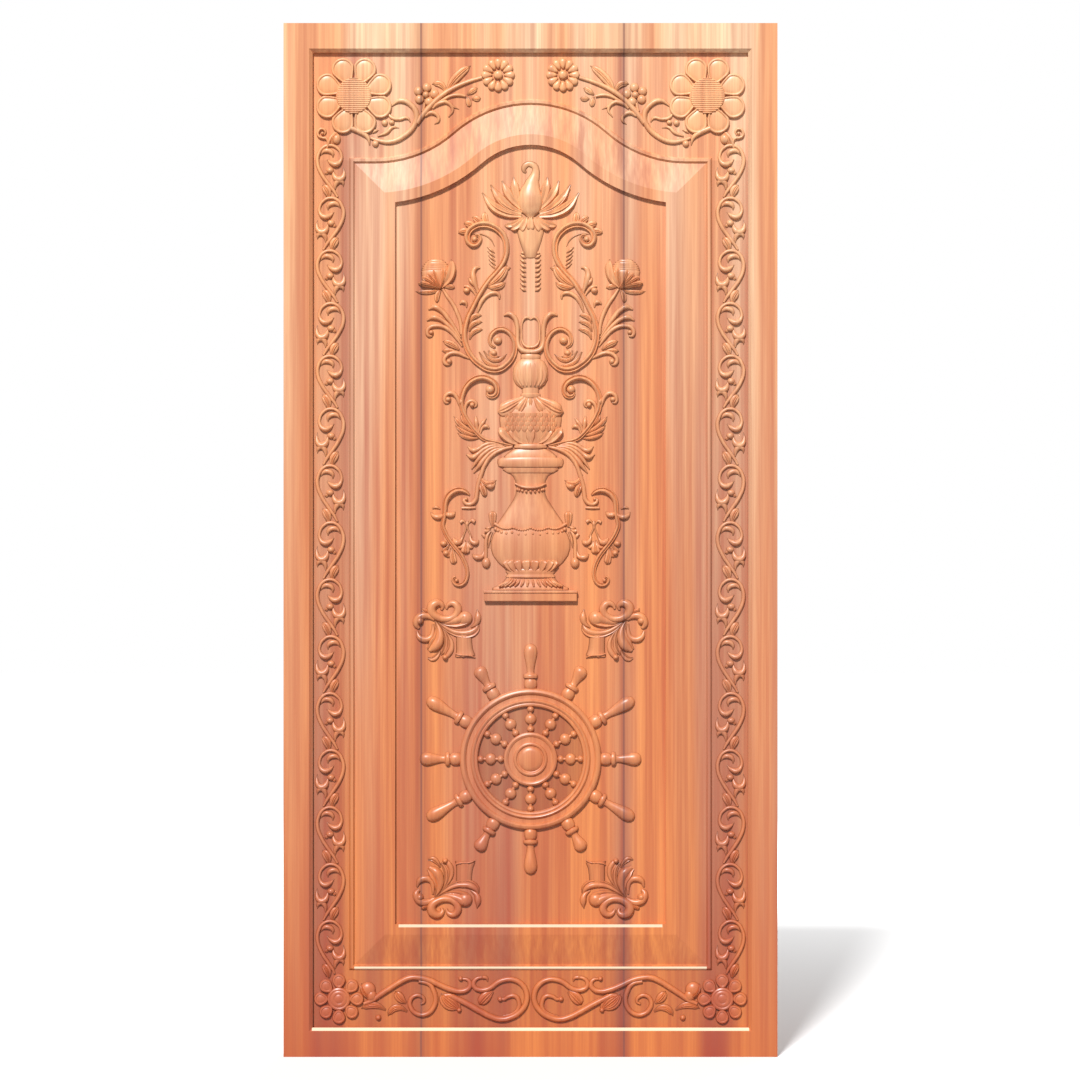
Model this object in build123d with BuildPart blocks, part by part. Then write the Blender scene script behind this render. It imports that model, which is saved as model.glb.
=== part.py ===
from build123d import *
import os
from math import asin, atan2, ceil, cos, degrees, hypot, pi, sin, sqrt

# Carved timber entry door hung in its four-piece frame. Millimetres, +Z up, the carved front
# faces -Y, and the origin is the middle of the sill's underside. X = 0 is the door's centre line.

os.makedirs("parts", exist_ok=True)

# Frame
door_width = 988
door_height = 2068
frame_depth = 60
frame_face = 58
lip_thickness = 15
rebate_width = 12
frame_chamfer = 7
tenon_thickness = 16
tenon_length = 30
tenon_shoulder = 8
fixing_radius = 5
fixing_inset = 184
fixing_y = -7

# Leaf
side_clearance = 3
lip_clearance = 1
seam_left = -219
seam_right = 187

# Bead, bevel and recess worked in the face of the leaf
bead_width = 12
bead_height = 5
bead_margin = 78
bead_foot = 120
bead_drop = 215
shoulder_half = 310
arch_radius = 234
crest_inset = 66
recess_inset = 87
panel_rise = 10

# Hinges
hinge_height = 125
hinge_heights = (300, 1034, 1768)
plate_thickness = 2.5
plate_width = 28
knuckle_radius = 6
knuckle_gap = 0.5
knuckle_count = 2
pin_radius = 3
pin_clearance = 0.05
barrel_clearance = 0.5

# Carved ornaments, planted on the leaf
stem_relief = 8
bud_relief = 10
top_relief = 12
straight_limit = 0.03
border_inset = 35
border_top = 185
border_foot = 98
border_pitch = 111.3
border_short_units = 5
border_short_share = 0.925
rosette_place = (82, -86)
rosette_core = 36
rosette_petal = 22
rosette_ring = 57
foot_rosette_place = (52, 56)
foot_rosette_core = 22
foot_rosette_petal = 12
foot_rosette_ring = 37
daisy_petals = 11
daisy_reach = 34
daisy_throat = 15
tree_height = 1430
wheel_reach = 231
foot_share = 0.76
spoke_count = 12
rope_turns = 9
rope_x = 15
rope_pitch = 9.8
rope_start = 1012

# Places worked out from the sizes above
opening_half = door_width / 2 - frame_face
rebate_half = opening_half + rebate_width
leaf_half = rebate_half - side_clearance
sill_top = frame_face
head_bottom = door_height - frame_face
rebate_bottom = sill_top - rebate_width
rebate_top = head_bottom + rebate_width
leaf_bottom = rebate_bottom + side_clearance
leaf_top = rebate_top - side_clearance
frame_front = -frame_depth / 2
leaf_back = frame_depth / 2
ground_y = frame_front + lip_thickness + lip_clearance
leaf_thickness = leaf_back - ground_y

bead_half = opening_half - bead_margin
bead_bottom = sill_top + bead_foot
bead_shoulder = head_bottom - bead_drop
lower_arc_z = bead_shoulder + arch_radius
arc_rise = sqrt((2 * arch_radius) ** 2 - shoulder_half**2)
upper_arc_z = lower_arc_z - arc_rise
arch_crest = upper_arc_z + arch_radius
tangent_angle = degrees(atan2(arc_rise, shoulder_half))

carving_plane = Plane.XZ.offset(-ground_y)
panel_plane = carving_plane.offset(panel_rise)
behind = 1


def arch_top(inset):
    """Draw the shouldered arch, the given distance inside the bead's middle line."""
    half = bead_half - inset
    reach = arch_radius + inset
    if half > shoulder_half:
        start_angle = -90
        Line((-half, lower_arc_z - reach), (-shoulder_half, lower_arc_z - reach))
    else:
        start_angle = degrees(asin((shoulder_half - half) / reach)) - 90
    sweep_angle = -tangent_angle - start_angle
    CenterArc((-shoulder_half, lower_arc_z), reach, start_angle, sweep_angle)
    CenterArc((0, upper_arc_z), arch_radius - inset, 180 - tangent_angle, 2 * tangent_angle - 180)
    CenterArc((shoulder_half, lower_arc_z), reach, 180 + tangent_angle, sweep_angle)
    if half > shoulder_half:
        Line((shoulder_half, lower_arc_z - reach), (half, lower_arc_z - reach))


def arch_foot(inset):
    """Draw the sides and the bottom edge that close the shouldered arch."""
    half = bead_half - inset
    reach = arch_radius + inset
    over = max(shoulder_half - half, 0)
    side_top = lower_arc_z - sqrt(reach**2 - over**2)
    foot = bead_bottom + inset
    Polyline((half, side_top), (half, foot), (-half, foot), (-half, side_top))


# Frame: one rebated ring, cut into sill, head and jambs, with tenons on the jambs
with BuildPart() as frame_ring:
    with BuildSketch(Plane.XZ.offset(-leaf_back)):
        with Locations((0, door_height / 2)):
            Rectangle(door_width, door_height)
        with Locations((0, (rebate_bottom + rebate_top) / 2)):
            Rectangle(2 * rebate_half, rebate_top - rebate_bottom, mode=Mode.SUBTRACT)
    extrude(amount=frame_depth)
    with BuildSketch(Plane.XZ.offset(-frame_front - lip_thickness)):
        with Locations((0, door_height / 2)):
            Rectangle(door_width, door_height)
            Rectangle(2 * opening_half, head_bottom - sill_top, mode=Mode.SUBTRACT)
    extrude(amount=lip_thickness)
    front_face = frame_ring.faces().sort_by(Axis.Y)[0]
    chamfer(front_face.inner_wires()[0].edges(), frame_chamfer)

jamb_width = door_width / 2 - opening_half
jamb_x = (door_width / 2 + opening_half) / 2
tenon_y = (frame_front + lip_thickness + leaf_back) / 2
tenon_x = (rebate_half + door_width / 2) / 2
tenon_width = door_width / 2 - rebate_half - 2 * tenon_shoulder
fixing_heights = (fixing_inset, door_height - fixing_inset)

with BuildPart() as jamb_blocks:
    with Locations((-jamb_x, 0, door_height / 2), (jamb_x, 0, door_height / 2)):
        Box(jamb_width, frame_depth, rebate_top - rebate_bottom)
    with GridLocations(2 * tenon_x, 0, 2, 1):
        with Locations((0, tenon_y, door_height / 2)):
            Box(tenon_width, tenon_thickness, rebate_top - rebate_bottom + 2 * tenon_length)

with BuildPart() as rails:
    add(frame_ring.part)
    add(jamb_blocks.part, mode=Mode.SUBTRACT)

with BuildPart() as sill:
    add(rails.part)
    split(bisect_by=Plane.XY.offset(door_height / 2), keep=Keep.BOTTOM)
sill.part.label = "frame_sill"

with BuildPart() as head:
    add(rails.part)
    split(bisect_by=Plane.XY.offset(door_height / 2), keep=Keep.TOP)
head.part.label = "frame_head"

# Hinge places: the barrel stands just behind the leaf's back face, over the side gap
hinge_x = -(leaf_half + side_clearance / 2)
hinge_y = leaf_back + knuckle_radius + barrel_clearance
frame_plate_x = -(rebate_half + plate_thickness / 2)
leaf_plate_x = -(leaf_half - plate_thickness / 2)
plate_y = leaf_back - plate_width / 2
knuckle_pitch = hinge_height / knuckle_count
knuckle_length = knuckle_pitch - knuckle_gap
knuckle_heights = [knuckle_pitch * (k + 0.5) - hinge_height / 2 for k in range(knuckle_count)]


def hinge_plates(plate_x, mine):
    """Add one flush plate at each hinge, with its own share of the knuckles."""
    for z in hinge_heights:
        with Locations((plate_x, plate_y, z)):
            Box(plate_thickness, plate_width, hinge_height)
        for offset_z in mine:
            with Locations((hinge_x, hinge_y, z + offset_z)):
                Cylinder(knuckle_radius, knuckle_length)
            with Locations((plate_x, (leaf_back + hinge_y) / 2, z + offset_z)):
                Box(plate_thickness, hinge_y - leaf_back, knuckle_length)
    with Locations(*[(hinge_x, hinge_y, z) for z in hinge_heights]):
        Cylinder(pin_radius + pin_clearance, hinge_height, mode=Mode.SUBTRACT)


def hinge_gains(plate_x):
    """Cut the shallow seats that the hinge plates are let into."""
    with Locations(*[(plate_x, plate_y, z) for z in hinge_heights]):
        Box(plate_thickness, plate_width, hinge_height, mode=Mode.SUBTRACT)


with BuildPart() as jambs:
    add(frame_ring.part)
    add(jamb_blocks.part, mode=Mode.INTERSECT)
    with BuildSketch(Plane.YZ):
        with Locations(*[(fixing_y, z) for z in fixing_heights]):
            Circle(fixing_radius)
    extrude(amount=door_width / 2, both=True, mode=Mode.SUBTRACT)
    hinge_gains(frame_plate_x)

with BuildPart() as hinge_jamb:
    add(jambs.part)
    split(bisect_by=Plane.YZ, keep=Keep.BOTTOM)
hinge_jamb.part.label = "jamb_hinge_side"

with BuildPart() as closing_jamb:
    add(jambs.part)
    split(bisect_by=Plane.YZ, keep=Keep.TOP)
closing_jamb.part.label = "jamb_closing_side"

with BuildPart() as frame_plates:
    hinge_plates(frame_plate_x, knuckle_heights[0::2])
frame_plates.part.label = "hinge_plates_on_jamb"

with BuildPart() as leaf_plates:
    hinge_plates(leaf_plate_x, knuckle_heights[1::2])
leaf_plates.part.label = "hinge_plates_on_leaf"

with BuildPart() as hinge_pins:
    for z in hinge_heights:
        with Locations((hinge_x, hinge_y, z)):
            Cylinder(pin_radius, hinge_height)
hinge_pins.part.label = "hinge_pins"

# Leaf: a slab of three edge-glued boards, its face worked with bead, bevelled panel and recess
with BuildPart() as leaf:
    with Locations((0, (ground_y + leaf_back) / 2, (leaf_bottom + leaf_top) / 2)):
        Box(2 * leaf_half, leaf_thickness, leaf_top - leaf_bottom)

with BuildPart() as panel:
    with BuildSketch(carving_plane):
        with BuildLine():
            arch_top(bead_width / 2)
            arch_foot(bead_width / 2)
        make_face()
    extrude(amount=panel_rise)
    # The bevel climbs from the bead to the crest, along the foot, the sides and the arch
    bevel_run = crest_inset - bead_width / 2
    outer_half = bead_half - bead_width / 2
    outer_foot = bead_bottom + bead_width / 2
    outer_shoulder = bead_shoulder - bead_width / 2
    face_y = ground_y - panel_rise
    with BuildSketch(Plane.XY.offset(outer_foot - behind)):
        for side in (-1, 1):
            with BuildLine():
                Polyline(
                    (side * (outer_half + behind), ground_y),
                    (side * outer_half, ground_y),
                    (side * (outer_half - bevel_run), face_y),
                    (side * (outer_half - bevel_run), face_y - behind),
                    (side * (outer_half + behind), face_y - behind),
                    close=True,
                )
            make_face()
    extrude(amount=door_height, mode=Mode.SUBTRACT)
    with BuildSketch(Plane.YZ.offset(-outer_half - behind)):
        with BuildLine():
            Polyline(
                (ground_y, outer_foot - behind),
                (ground_y, outer_foot),
                (face_y, outer_foot + bevel_run),
                (face_y - behind, outer_foot + bevel_run),
                (face_y - behind, outer_foot - behind),
                close=True,
            )
        make_face()
    extrude(amount=2 * (outer_half + behind), mode=Mode.SUBTRACT)
    with BuildLine(Plane.XZ.offset(-ground_y)) as arch_path:
        arch_top(bead_width / 2)
    with BuildSketch(Plane.YZ.offset(-outer_half)):
        with BuildLine():
            Polyline(
                (ground_y, outer_shoulder + behind),
                (ground_y, outer_shoulder),
                (face_y, outer_shoulder - bevel_run),
                (face_y - behind, outer_shoulder - bevel_run),
                (face_y - behind, outer_shoulder + behind),
                close=True,
            )
        make_face()
    sweep(path=arch_path.wire(), mode=Mode.SUBTRACT)
    with BuildSketch(panel_plane):
        with BuildLine():
            arch_top(recess_inset)
            arch_foot(recess_inset)
        make_face()
    extrude(amount=-panel_rise, mode=Mode.SUBTRACT)

with BuildPart() as bead:
    with BuildLine(Plane.XZ.offset(-ground_y)) as bead_path:
        arch_top(0)
        arch_foot(0)
    with BuildSketch(Plane.XY.offset((bead_bottom + bead_shoulder) / 2)):
        with BuildLine():
            Polyline(
                (-bead_half - bead_width / 2, ground_y),
                (-bead_half - bead_width / 5, ground_y - bead_height),
                (-bead_half + bead_width / 5, ground_y - bead_height),
                (-bead_half + bead_width / 2, ground_y),
                close=True,
            )
        make_face()
    sweep(path=bead_path.wire(), transition=Transition.RIGHT)

with BuildPart() as worked_leaf:
    add(leaf.part)
    add(panel.part)
    add(bead.part)
    hinge_gains(leaf_plate_x)

with BuildPart() as left_board:
    add(worked_leaf.part)
    split(bisect_by=Plane.YZ.offset(seam_left), keep=Keep.BOTTOM)
left_board.part.label = "leaf_board_left"

with BuildPart() as middle_board:
    add(worked_leaf.part)
    split(bisect_by=Plane.YZ.offset(seam_left), keep=Keep.TOP)
    split(bisect_by=Plane.YZ.offset(seam_right), keep=Keep.BOTTOM)
middle_board.part.label = "leaf_board_middle"

with BuildPart() as right_board:
    add(worked_leaf.part)
    split(bisect_by=Plane.YZ.offset(seam_right), keep=Keep.TOP)
right_board.part.label = "leaf_board_right"

# Places of the carved ornaments
recess_bottom = bead_bottom + recess_inset
recess_crest = arch_crest - recess_inset
wheel_z = recess_bottom + wheel_reach + foot_share * (recess_crest - recess_bottom - tree_height)
border_x = opening_half - border_inset
border_start = head_bottom - border_top
border_length = border_start - sill_top - border_foot
border_units = max(border_short_units + 1, round(border_length / border_pitch))
border_unit = border_length / (border_units - border_short_units * (1 - border_short_share))


def ornament_plane(x, z):
    """Give the plane on the carved ground whose origin is the ornament's own anchor."""
    return Plane(origin=(x, ground_y, z), x_dir=(1, 0, 0), z_dir=(0, -1, 0))


tree_plane = ornament_plane(0, wheel_z)
corner_plane = ornament_plane(-opening_half, head_bottom)
foot_plane = ornament_plane(0, sill_top)
foot_corner_plane = ornament_plane(-opening_half, sill_top)


def arc_samples(start, middle, end, step):
    """Give the points along the arc through three points, one for each step of turn."""
    (x1, z1), (x2, z2), (x3, z3) = start, middle, end
    twice_area = (x2 - x1) * (z3 - z1) - (x3 - x1) * (z2 - z1)
    if abs(twice_area) < straight_limit * hypot(x3 - x1, z3 - z1) ** 2:
        return [middle, end]
    square1 = x1**2 + z1**2
    square2 = x2**2 + z2**2
    square3 = x3**2 + z3**2
    centre_x = (square1 * (z2 - z3) + square2 * (z3 - z1) + square3 * (z1 - z2)) / (2 * twice_area)
    centre_z = (square1 * (x3 - x2) + square2 * (x1 - x3) + square3 * (x2 - x1)) / (2 * twice_area)
    first = atan2(z1 - centre_z, x1 - centre_x)
    turn = (atan2(z3 - centre_z, x3 - centre_x) - first) % (2 * pi)
    if twice_area < 0:
        turn -= 2 * pi
    count = ceil(abs(degrees(turn)) / step)
    radius = hypot(x1 - centre_x, z1 - centre_z)
    angles = [first + turn * (k + 1) / count for k in range(count)]
    return [(centre_x + radius * cos(a), centre_z + radius * sin(a)) for a in angles]


def eased_width(widths, share):
    """Give the width at a share of the length, between widths spaced evenly along it."""
    place = share * (len(widths) - 1)
    k = min(int(place), len(widths) - 2)
    return widths[k] + (widths[k + 1] - widths[k]) * (place - k)


def scroll(points, widths, step=75):
    """Draw a carved stem: a band along the arcs through every second point."""
    line = [points[0]]
    for k in range(0, len(points) - 2, 2):
        line += arc_samples(*points[k : k + 3], step)
    if len(points) % 2 == 0:
        line.append(points[-1])
    lengths = [0]
    for (x1, z1), (x2, z2) in zip(line, line[1:]):
        lengths.append(lengths[-1] + hypot(x2 - x1, z2 - z1))
    left = []
    right = []
    for k, (x, z) in enumerate(line):
        x1, z1 = line[max(k - 1, 0)]
        x2, z2 = line[min(k + 1, len(line) - 1)]
        along = hypot(x2 - x1, z2 - z1)
        half = eased_width(widths, lengths[k] / lengths[-1]) / 2
        side_x = (z1 - z2) / along * half
        side_z = (x2 - x1) / along * half
        left.append((x + side_x, z + side_z))
        if half > 0:
            right.append((x - side_x, z - side_z))
    with BuildLine() as outline:
        Polyline(*left, *reversed(right), close=True)
    make_face(outline.edges())


def leaf_blade(root, tip, width, bow=0):
    """Draw a pointed leaf between two points, bowed to its left by the given distance."""
    (x1, z1), (x2, z2) = root, tip
    along = hypot(x2 - x1, z2 - z1)
    side_x = (z1 - z2) / along
    side_z = (x2 - x1) / along
    left = []
    right = []
    for share in (0.3, 0.7):
        x = x1 + (x2 - x1) * share + side_x * bow
        z = z1 + (z2 - z1) * share + side_z * bow
        left.append((x + side_x * width / 2, z + side_z * width / 2))
        right.append((x - side_x * width / 2, z - side_z * width / 2))
    with BuildLine() as outline:
        Polyline(root, *left, tip, *reversed(right), close=True)
    make_face(outline.edges())


def boss(centre, radius, sides=8):
    """Draw a round boss as a many-sided drop."""
    with Locations(centre):
        RegularPolygon(radius, sides)


def bud(centre, half_width, half_height, sides=8):
    """Draw an oval bud as a many-sided oval."""
    x, z = centre
    angles = [2 * pi * (k + 0.5) / sides for k in range(sides)]
    with BuildLine() as outline:
        Polyline(*[(x + half_width * cos(a), z + half_height * sin(a)) for a in angles], close=True)
    make_face(outline.edges())


def border_column():
    """Plant the running scrolls of one border, each unit the mirror image of the one above."""
    top = 0
    with BuildSketch(ornament_plane(-border_x, border_start)) as units:
        for k in range(border_units):
            side = -1 if k % 2 else 1
            tall = border_unit * (border_short_share if k < border_short_units else 1)
            stem = [(-2, -0.28), (17, -0.34), (20, -0.13), (1, 0), (-24, -0.17), (-23, -0.47), (1, -0.78)]
            stem += [(13, -0.99)] if k < border_units - 1 else [(7, -0.93)]
            hook = [(7, -0.53), (18, -0.64), (27, -0.53)]
            scroll([(side * x, top + z * tall) for x, z in stem], (3, 7, 7, 7))
            scroll([(side * x, top + z * tall) for x, z in hook], (3, 8, 0))
            leaf_blade((side * 4, top + 3), (side * 16, top + 25), 14)
            top -= tall
        leaf_blade((side * -4, top + 3), (side * -16, top + 25), 14)
    extrude(units.sketch, amount=stem_relief)


def star(centre, reach, throat, count):
    """Draw a flower head as a ring of blunt petals parted by notches."""
    x, z = centre
    corners = []
    for k in range(count):
        for share, radius in ((-0.28, reach), (0.28, reach), (0.5, throat)):
            angle = 2 * pi * (k + share) / count
            corners.append((x + radius * cos(angle), z + radius * sin(angle)))
    with BuildLine() as outline:
        Polyline(*corners, close=True)
    make_face(outline.edges())


def rosette(plane, centre, core_radius, petal_radius, petal_ring, petal_count, first_angle):
    """Plant a rosette: a ring of round petals about a flat core."""
    with BuildSketch(plane) as petals:
        with Locations(centre):
            with PolarLocations(petal_ring, petal_count, start_angle=first_angle):
                RegularPolygon(petal_radius, 8)
    extrude(petals.sketch, amount=stem_relief)
    with BuildSketch(plane) as core:
        boss(centre, core_radius, 16)
    extrude(core.sketch, amount=bud_relief)


def upper_rosette():
    """Plant the large rosette in the upper corner."""
    rosette(corner_plane, rosette_place, rosette_core, rosette_petal, rosette_ring, 8, 22.5)


def upper_spray():
    """Plant the curl, the leafy stem and the daisy that fill the corner above the arch."""
    with BuildSketch(corner_plane) as stems:
        scroll([(82, -148), (97, -159), (110, -170), (114, -178), (114, -185)], (0, 8, 3))
        scroll([
            (156, -107), (176, -95), (198, -106), (208, -123), (203, -146), (180, -168),
            (155, -178), (132, -176), (114, -168),
        ], (2, 9, 9, 9, 8, 6))
        scroll([(147, -116), (158, -129), (173, -132), (189, -130), (195, -138)], (3, 6, 0))
        scroll([(129, -167), (147, -159), (159, -149), (166, -147), (173, -150)], (3, 6, 0))
        scroll([
            (206, -140), (225, -118), (253, -89), (278, -72), (311, -57), (324, -53),
            (338, -49),
        ], (9, 9, 8, 7))
        scroll([(220, -120), (222, -110), (223, -100)], (6, 6))
        scroll([(253, -98), (278, -86), (306, -86)], (5, 6, 5))
        scroll([(244, -110), (256, -99), (267, -98), (280, -113), (272, -128)], (5, 7, 7, 2))
        scroll([(224, -126), (238, -119), (251, -128), (251, -137), (244, -143)], (5, 7, 2))
    extrude(stems.sketch, amount=stem_relief)
    with BuildSketch(corner_plane) as blades:
        scroll([(267, -78), (286, -48), (316, -25)], (4, 13, 0))
        scroll([(265, -79), (264, -62), (238, -63)], (4, 10, 0))
        boss((226, -83), 20, 6)
        leaf_blade((308, -86), (330, -70), 11)
        leaf_blade((317, -92), (337, -91), 10)
        leaf_blade((308, -86), (313, -109), 10)
        boss((144, -140), 7)
        boss((125, -182), 7)
        bud((47, -172), 9, 11)
    extrude(blades.sketch, amount=bud_relief)
    with BuildSketch(corner_plane) as daisy:
        star((371, -44), daisy_reach, daisy_throat, daisy_petals)
    extrude(daisy.sketch, amount=stem_relief)


def lower_rosette():
    """Plant the small rosette and the ribbed bud in the lower corner."""
    rosette(foot_corner_plane, foot_rosette_place, foot_rosette_core, foot_rosette_petal, foot_rosette_ring, 8, 0)
    with BuildSketch(foot_corner_plane) as knob:
        leaf_blade((124, 70), (94, 82), 24)
    extrude(knob.sketch, amount=bud_relief)


def foot_scroll():
    """Plant one half of the scrolling band along the foot of the leaf."""
    with BuildSketch(foot_plane) as stems:
        scroll([
            (-158, 62), (-127, 46), (-101, 32), (-79, 20), (-60, 16), (-39, 20), (-20, 32),
            (-9, 49), (-9, 70), (-18, 86), (-34, 95), (-52, 95), (-66, 89), (-79, 80),
            (-90, 75), (-104, 76), (-112, 83), (-108, 97), (-98, 100),
        ], (9, 9, 9, 8, 8, 8, 8, 6, 3))
        scroll([(-61, 57), (-53, 56), (-45, 60), (-31, 62), (-23, 49), (-25, 36), (-36, 27)], (2, 6, 6, 5))
        scroll([
            (-139, 96), (-125, 94), (-121, 84), (-139, 72), (-158, 75), (-179, 83),
            (-203, 94), (-222, 99), (-241, 99), (-259, 92), (-279, 80), (-299, 66),
            (-318, 53),
        ], (3, 8, 9, 9, 9, 9, 7))
        scroll([
            (-224, 95), (-203, 86), (-194, 73), (-190, 54), (-200, 33), (-220, 24),
            (-238, 33), (-240, 54), (-225, 62), (-214, 55), (-216, 46),
        ], (5, 8, 8, 7, 5, 3))
        scroll([(-247, 33), (-262, 45), (-280, 38), (-285, 23)], (0, 8, 7, 2))
        scroll([(-290, 36), (-311, 47), (-338, 35)], (0, 9, 0))
    extrude(stems.sketch, amount=stem_relief)
    with BuildSketch(foot_plane) as blades:
        leaf_blade((-76, 72), (-103, 44), 15)
        leaf_blade((-250, 48), (-271, 72), 13)
        leaf_blade((-144, 32), (-179, 68), 32)
        boss((-305, 19), 6, 6)
    extrude(blades.sketch, amount=bud_relief)


def crest_bird():
    """Plant the bird on the finial: an egg-shaped body under a curled neck and head."""
    with BuildSketch(tree_plane) as body:
        scroll([
            (0, 1091), (0, 1104), (0, 1117), (1, 1131), (3, 1145), (8, 1162), (14, 1175),
            (14, 1188), (4, 1197), (-10, 1196), (-17, 1185),
        ], (26, 49, 44, 28, 14, 10, 4))
    extrude(body.sketch, amount=top_relief)


def lotus_petal_pair():
    """Plant the three long lotus petals on one side of the bird."""
    with BuildSketch(tree_plane) as petals:
        scroll([(-23, 1083), (-70, 1097), (-96, 1132)], (16, 20, 0))
        scroll([(-26, 1093), (-56, 1113), (-80, 1150)], (16, 20, 0))
        scroll([(-27, 1102), (-44, 1127), (-58, 1159)], (12, 18, 0))
        scroll([(-27, 1117), (-30, 1140), (-34, 1165)], (6, 14, 0))
    extrude(petals.sketch, amount=stem_relief)


def finial_foot():
    """Plant the turned-down sepals, the cone and the rope strings under the lotus."""
    with BuildSketch(tree_plane) as sepals:
        for x, z in [(-48, 1062), (-28, 1057), (0, 1060), (28, 1057), (48, 1062)]:
            leaf_blade((0, 1091), (x, z), 17)
    extrude(sepals.sketch, amount=bud_relief)
    with BuildSketch(tree_plane) as cone:
        with BuildLine() as outline:
            Polyline(*[(-27, 1055), (27, 1055), (12, 1017), (-12, 1017)], close=True)
        make_face(outline.edges())
    extrude(cone.sketch, amount=stem_relief)


def rope_strings():
    """Plant the slanted dashes of the rope that hangs below the cone."""
    with BuildSketch(tree_plane) as ropes:
        for side in (-1, 1):
            for k in range(rope_turns):
                x = side * rope_x
                z = rope_start - k * rope_pitch
                with BuildLine() as outline:
                    Polyline(
                        (x - side * 5, z + 1),
                        (x + side * 5, z + 5),
                        (x + side * 5, z - 1),
                        (x - side * 5, z - 5),
                        close=True,
                    )
                make_face(outline.edges())
    extrude(ropes.sketch, amount=stem_relief)


def upper_arm():
    """Plant the tallest scrolling arm with its flower, curls and leaves."""
    with BuildSketch(tree_plane) as stems:
        scroll([
            (-110, 1048), (-102, 1042), (-113, 1030), (-124, 1036), (-127, 1045),
            (-124, 1057), (-113, 1067), (-96, 1071), (-78, 1068), (-62, 1058), (-52, 1043),
            (-48, 1023), (-50, 1009), (-56, 994), (-68, 977), (-84, 960), (-98, 940),
            (-108, 922), (-114, 908), (-124, 888), (-131, 867), (-133, 847), (-128, 826),
            (-118, 806), (-101, 790), (-82, 781), (-65, 781), (-48, 790), (-35, 806),
            (-30, 826), (-33, 844), (-44, 858), (-58, 862), (-73, 856), (-81, 844),
            (-79, 832), (-69, 824),
        ], (3, 8, 11, 12, 10, 9, 9, 9, 9, 9, 9, 8, 8, 7, 4))
        scroll([(-180, 941), (-170, 928), (-157, 914), (-146, 893), (-138, 865)], (5, 7, 7, 6))
        scroll([(-138, 849), (-167, 881), (-180, 898), (-194, 906), (-204, 899)], (7, 8, 6, 3))
        scroll([(-138, 839), (-160, 864), (-180, 881), (-195, 885), (-206, 879)], (7, 8, 7, 3))
        scroll([(-137, 827), (-159, 855), (-188, 868), (-204, 863), (-202, 848)], (7, 8, 7, 3))
        scroll([(-119, 807), (-145, 813), (-168, 809), (-173, 795), (-158, 790)], (5, 8, 7, 3))
        scroll([(-101, 924), (-91, 927), (-70, 934), (-60, 929), (-62, 919)], (4, 7, 3))
        scroll([(-105, 935), (-117, 963), (-116, 977), (-108, 986), (-98, 981)], (4, 8, 4))
    extrude(stems.sketch, amount=stem_relief)
    with BuildSketch(tree_plane) as blades:
        for root, tip in (
            ((-92, 1069), (-92, 1095)),
            ((-103, 1067), (-118, 1086)),
            ((-114, 1063), (-135, 1073)),
            ((-122, 1055), (-145, 1053)),
        ):
            leaf_blade(root, tip, 13)
        for tip in [(-152, 1002), (-187, 1006), (-213, 997), (-230, 977), (-229, 948)]:
            leaf_blade((-178, 937), tip, 26)
        leaf_blade((-173, 833), (-142, 816), 11)
        scroll([(-84, 954), (-56, 967), (-46, 994)], (3, 12, 0))
        leaf_blade((-90, 940), (-50, 955), 9)
        scroll([(-122, 876), (-110, 891), (-97, 887)], (3, 8, 0))
        scroll([(-124, 862), (-111, 878), (-97, 875)], (3, 8, 0))
        scroll([(-124, 846), (-113, 864), (-94, 861)], (3, 8, 0))
        scroll([(-107, 815), (-90, 796), (-60, 789)], (3, 7, 0))
    extrude(blades.sketch, amount=bud_relief)


def middle_arm():
    """Plant the arm that swells from the urn's lid past the ribbed bulb."""
    with BuildSketch(tree_plane) as stems:
        scroll([
            (-81, 741), (-91, 735), (-83, 726), (-71, 729), (-66, 739), (-69, 751),
            (-81, 762), (-98, 766), (-116, 761), (-130, 748), (-136, 734), (-139, 720),
            (-138, 705), (-133, 689), (-119, 668), (-107, 651), (-92, 636),
        ], (3, 7, 9, 10, 10, 9, 9, 9, 8))
        scroll([(-92, 637), (-75, 631), (-36, 625)], (8, 8))
        scroll([(-138, 701), (-147, 725), (-166, 733), (-174, 722), (-162, 712)], (7, 8, 7, 3))
        scroll([(-132, 691), (-130, 710), (-121, 719), (-109, 717), (-109, 706)], (6, 7, 3))
        scroll([(-36, 625), (-72, 634), (-98, 627), (-112, 621), (-126, 627)], (6, 8, 7, 0))
        scroll([(-36, 623), (-85, 624), (-102, 615), (-116, 609), (-129, 610)], (6, 8, 7, 0))
        scroll([(-40, 620), (-92, 616), (-109, 601), (-116, 592), (-118, 582)], (6, 8, 7, 0))
        scroll([
            (-42, 618), (-62, 618), (-81, 606), (-95, 587), (-102, 566), (-108, 540),
            (-111, 524), (-117, 514), (-126, 511), (-134, 516), (-129, 523),
        ], (6, 8, 8, 7, 5, 3))
    extrude(stems.sketch, amount=stem_relief)
    with BuildSketch(tree_plane) as blades:
        leaf_blade((-105, 651), (-156, 686), 14)
        leaf_blade((-103, 645), (-152, 665), 13)
        leaf_blade((-98, 638), (-148, 643), 11)
        leaf_blade((-104, 655), (-110, 687), 12)
        leaf_blade((-101, 652), (-90, 684), 12)
        scroll([(-103, 568), (-88, 547), (-69, 556)], (3, 9, 0))
        leaf_blade((-101, 543), (-94, 523), 9)
    extrude(blades.sketch, amount=bud_relief)


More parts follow.
